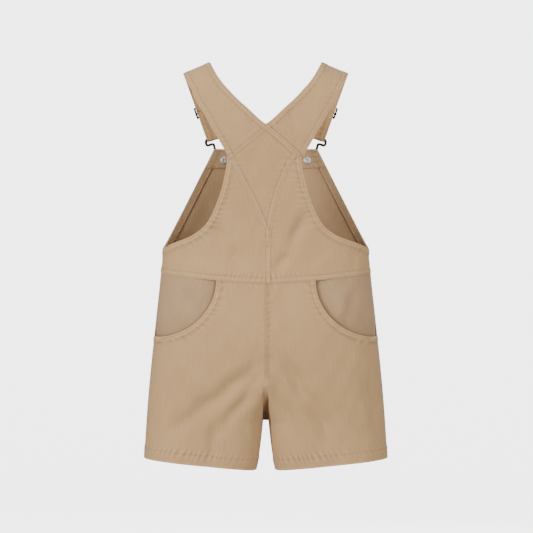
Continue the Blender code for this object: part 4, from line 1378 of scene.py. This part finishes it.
def stage():
    """A white sweep of floor and wall, far enough below for the hem to hang clear."""
    profile = [(FLOOR_START, FLOOR_HEIGHT), (WALL_PLACE - SWEEP_RADIUS, FLOOR_HEIGHT)]
    for k in range(1, SWEEP_STEPS + 1):
        angle = pi / 2 * k / SWEEP_STEPS
        out = WALL_PLACE - SWEEP_RADIUS + SWEEP_RADIUS * np.sin(angle)
        profile.append((out, FLOOR_HEIGHT + SWEEP_RADIUS * (1 - np.cos(angle))))
    profile.append((WALL_PLACE, WALL_TOP))
    mesh = bmesh.new()
    rows = [
        [mesh.verts.new((x, y, z)) for y, z in profile]
        for x in (-SWEEP_HALF_WIDTH, SWEEP_HALF_WIDTH)
    ]
    for k in range(len(profile) - 1):
        mesh.faces.new((rows[0][k], rows[1][k], rows[1][k + 1], rows[0][k + 1]))
    data = bpy.data.meshes.new("sweep")
    mesh.to_mesh(data)
    mesh.free()
    data.shade_smooth()
    material, _, _ = new_material("white_paper", {
        "Base Color": (0.9, 0.9, 0.9, 1), "Roughness": 1,
        "Emission Color": (1, 1, 1, 1), "Emission Strength": PAPER_GLOW,
    })
    data.materials.append(material)
    thing = link_new("sweep", data)
    thing.visible_diffuse = False
    thing.visible_glossy = False


def lights():
    for lamp in LAMPS:
        data = bpy.data.lights.new(lamp.name, "AREA")
        data.shape = "DISK"
        data.size = lamp.size
        data.energy = lamp.power
        thing = link_new(lamp.name, data)
        thing.location = lamp.place
        aim = LIT_POINT - Vector(lamp.place)
        thing.rotation_euler = aim.to_track_quat("-Z", "Y").to_euler()
    world = bpy.data.worlds.new("studio")
    bpy.context.scene.world = world
    world.use_nodes = True
    background = world.node_tree.nodes["Background"]
    background.inputs["Color"].default_value = (1, 1, 1, 1)
    background.inputs["Strength"].default_value = DAYLIGHT


def camera():
    data = bpy.data.cameras.new("camera")
    data.sensor_width = SENSOR
    data.lens = SENSOR * CLOTH_TO_CAMERA / (IMAGE_WIDTH * PIXEL)
    thing = link_new("camera", data)
    thing.location = CAMERA_PLACE
    thing.rotation_euler = (radians(90), 0, 0)
    bpy.context.scene.camera = thing


def main():
    for side, word in ((LEFT, "left"), (RIGHT, "right")):
        back_panel(side, word)
        leg_panel(BACK, side, word)
        leg_panel(FRONT, side, word)
        pocket_facing(side, word)
        strap(side, word, side == LEFT)
        buckle(side, word)
        slider(side, word)
        button(side, word)
        rivet(side, word)
    front_bib()
    bib_facing()
    stage()
    lights()
    camera()


main()
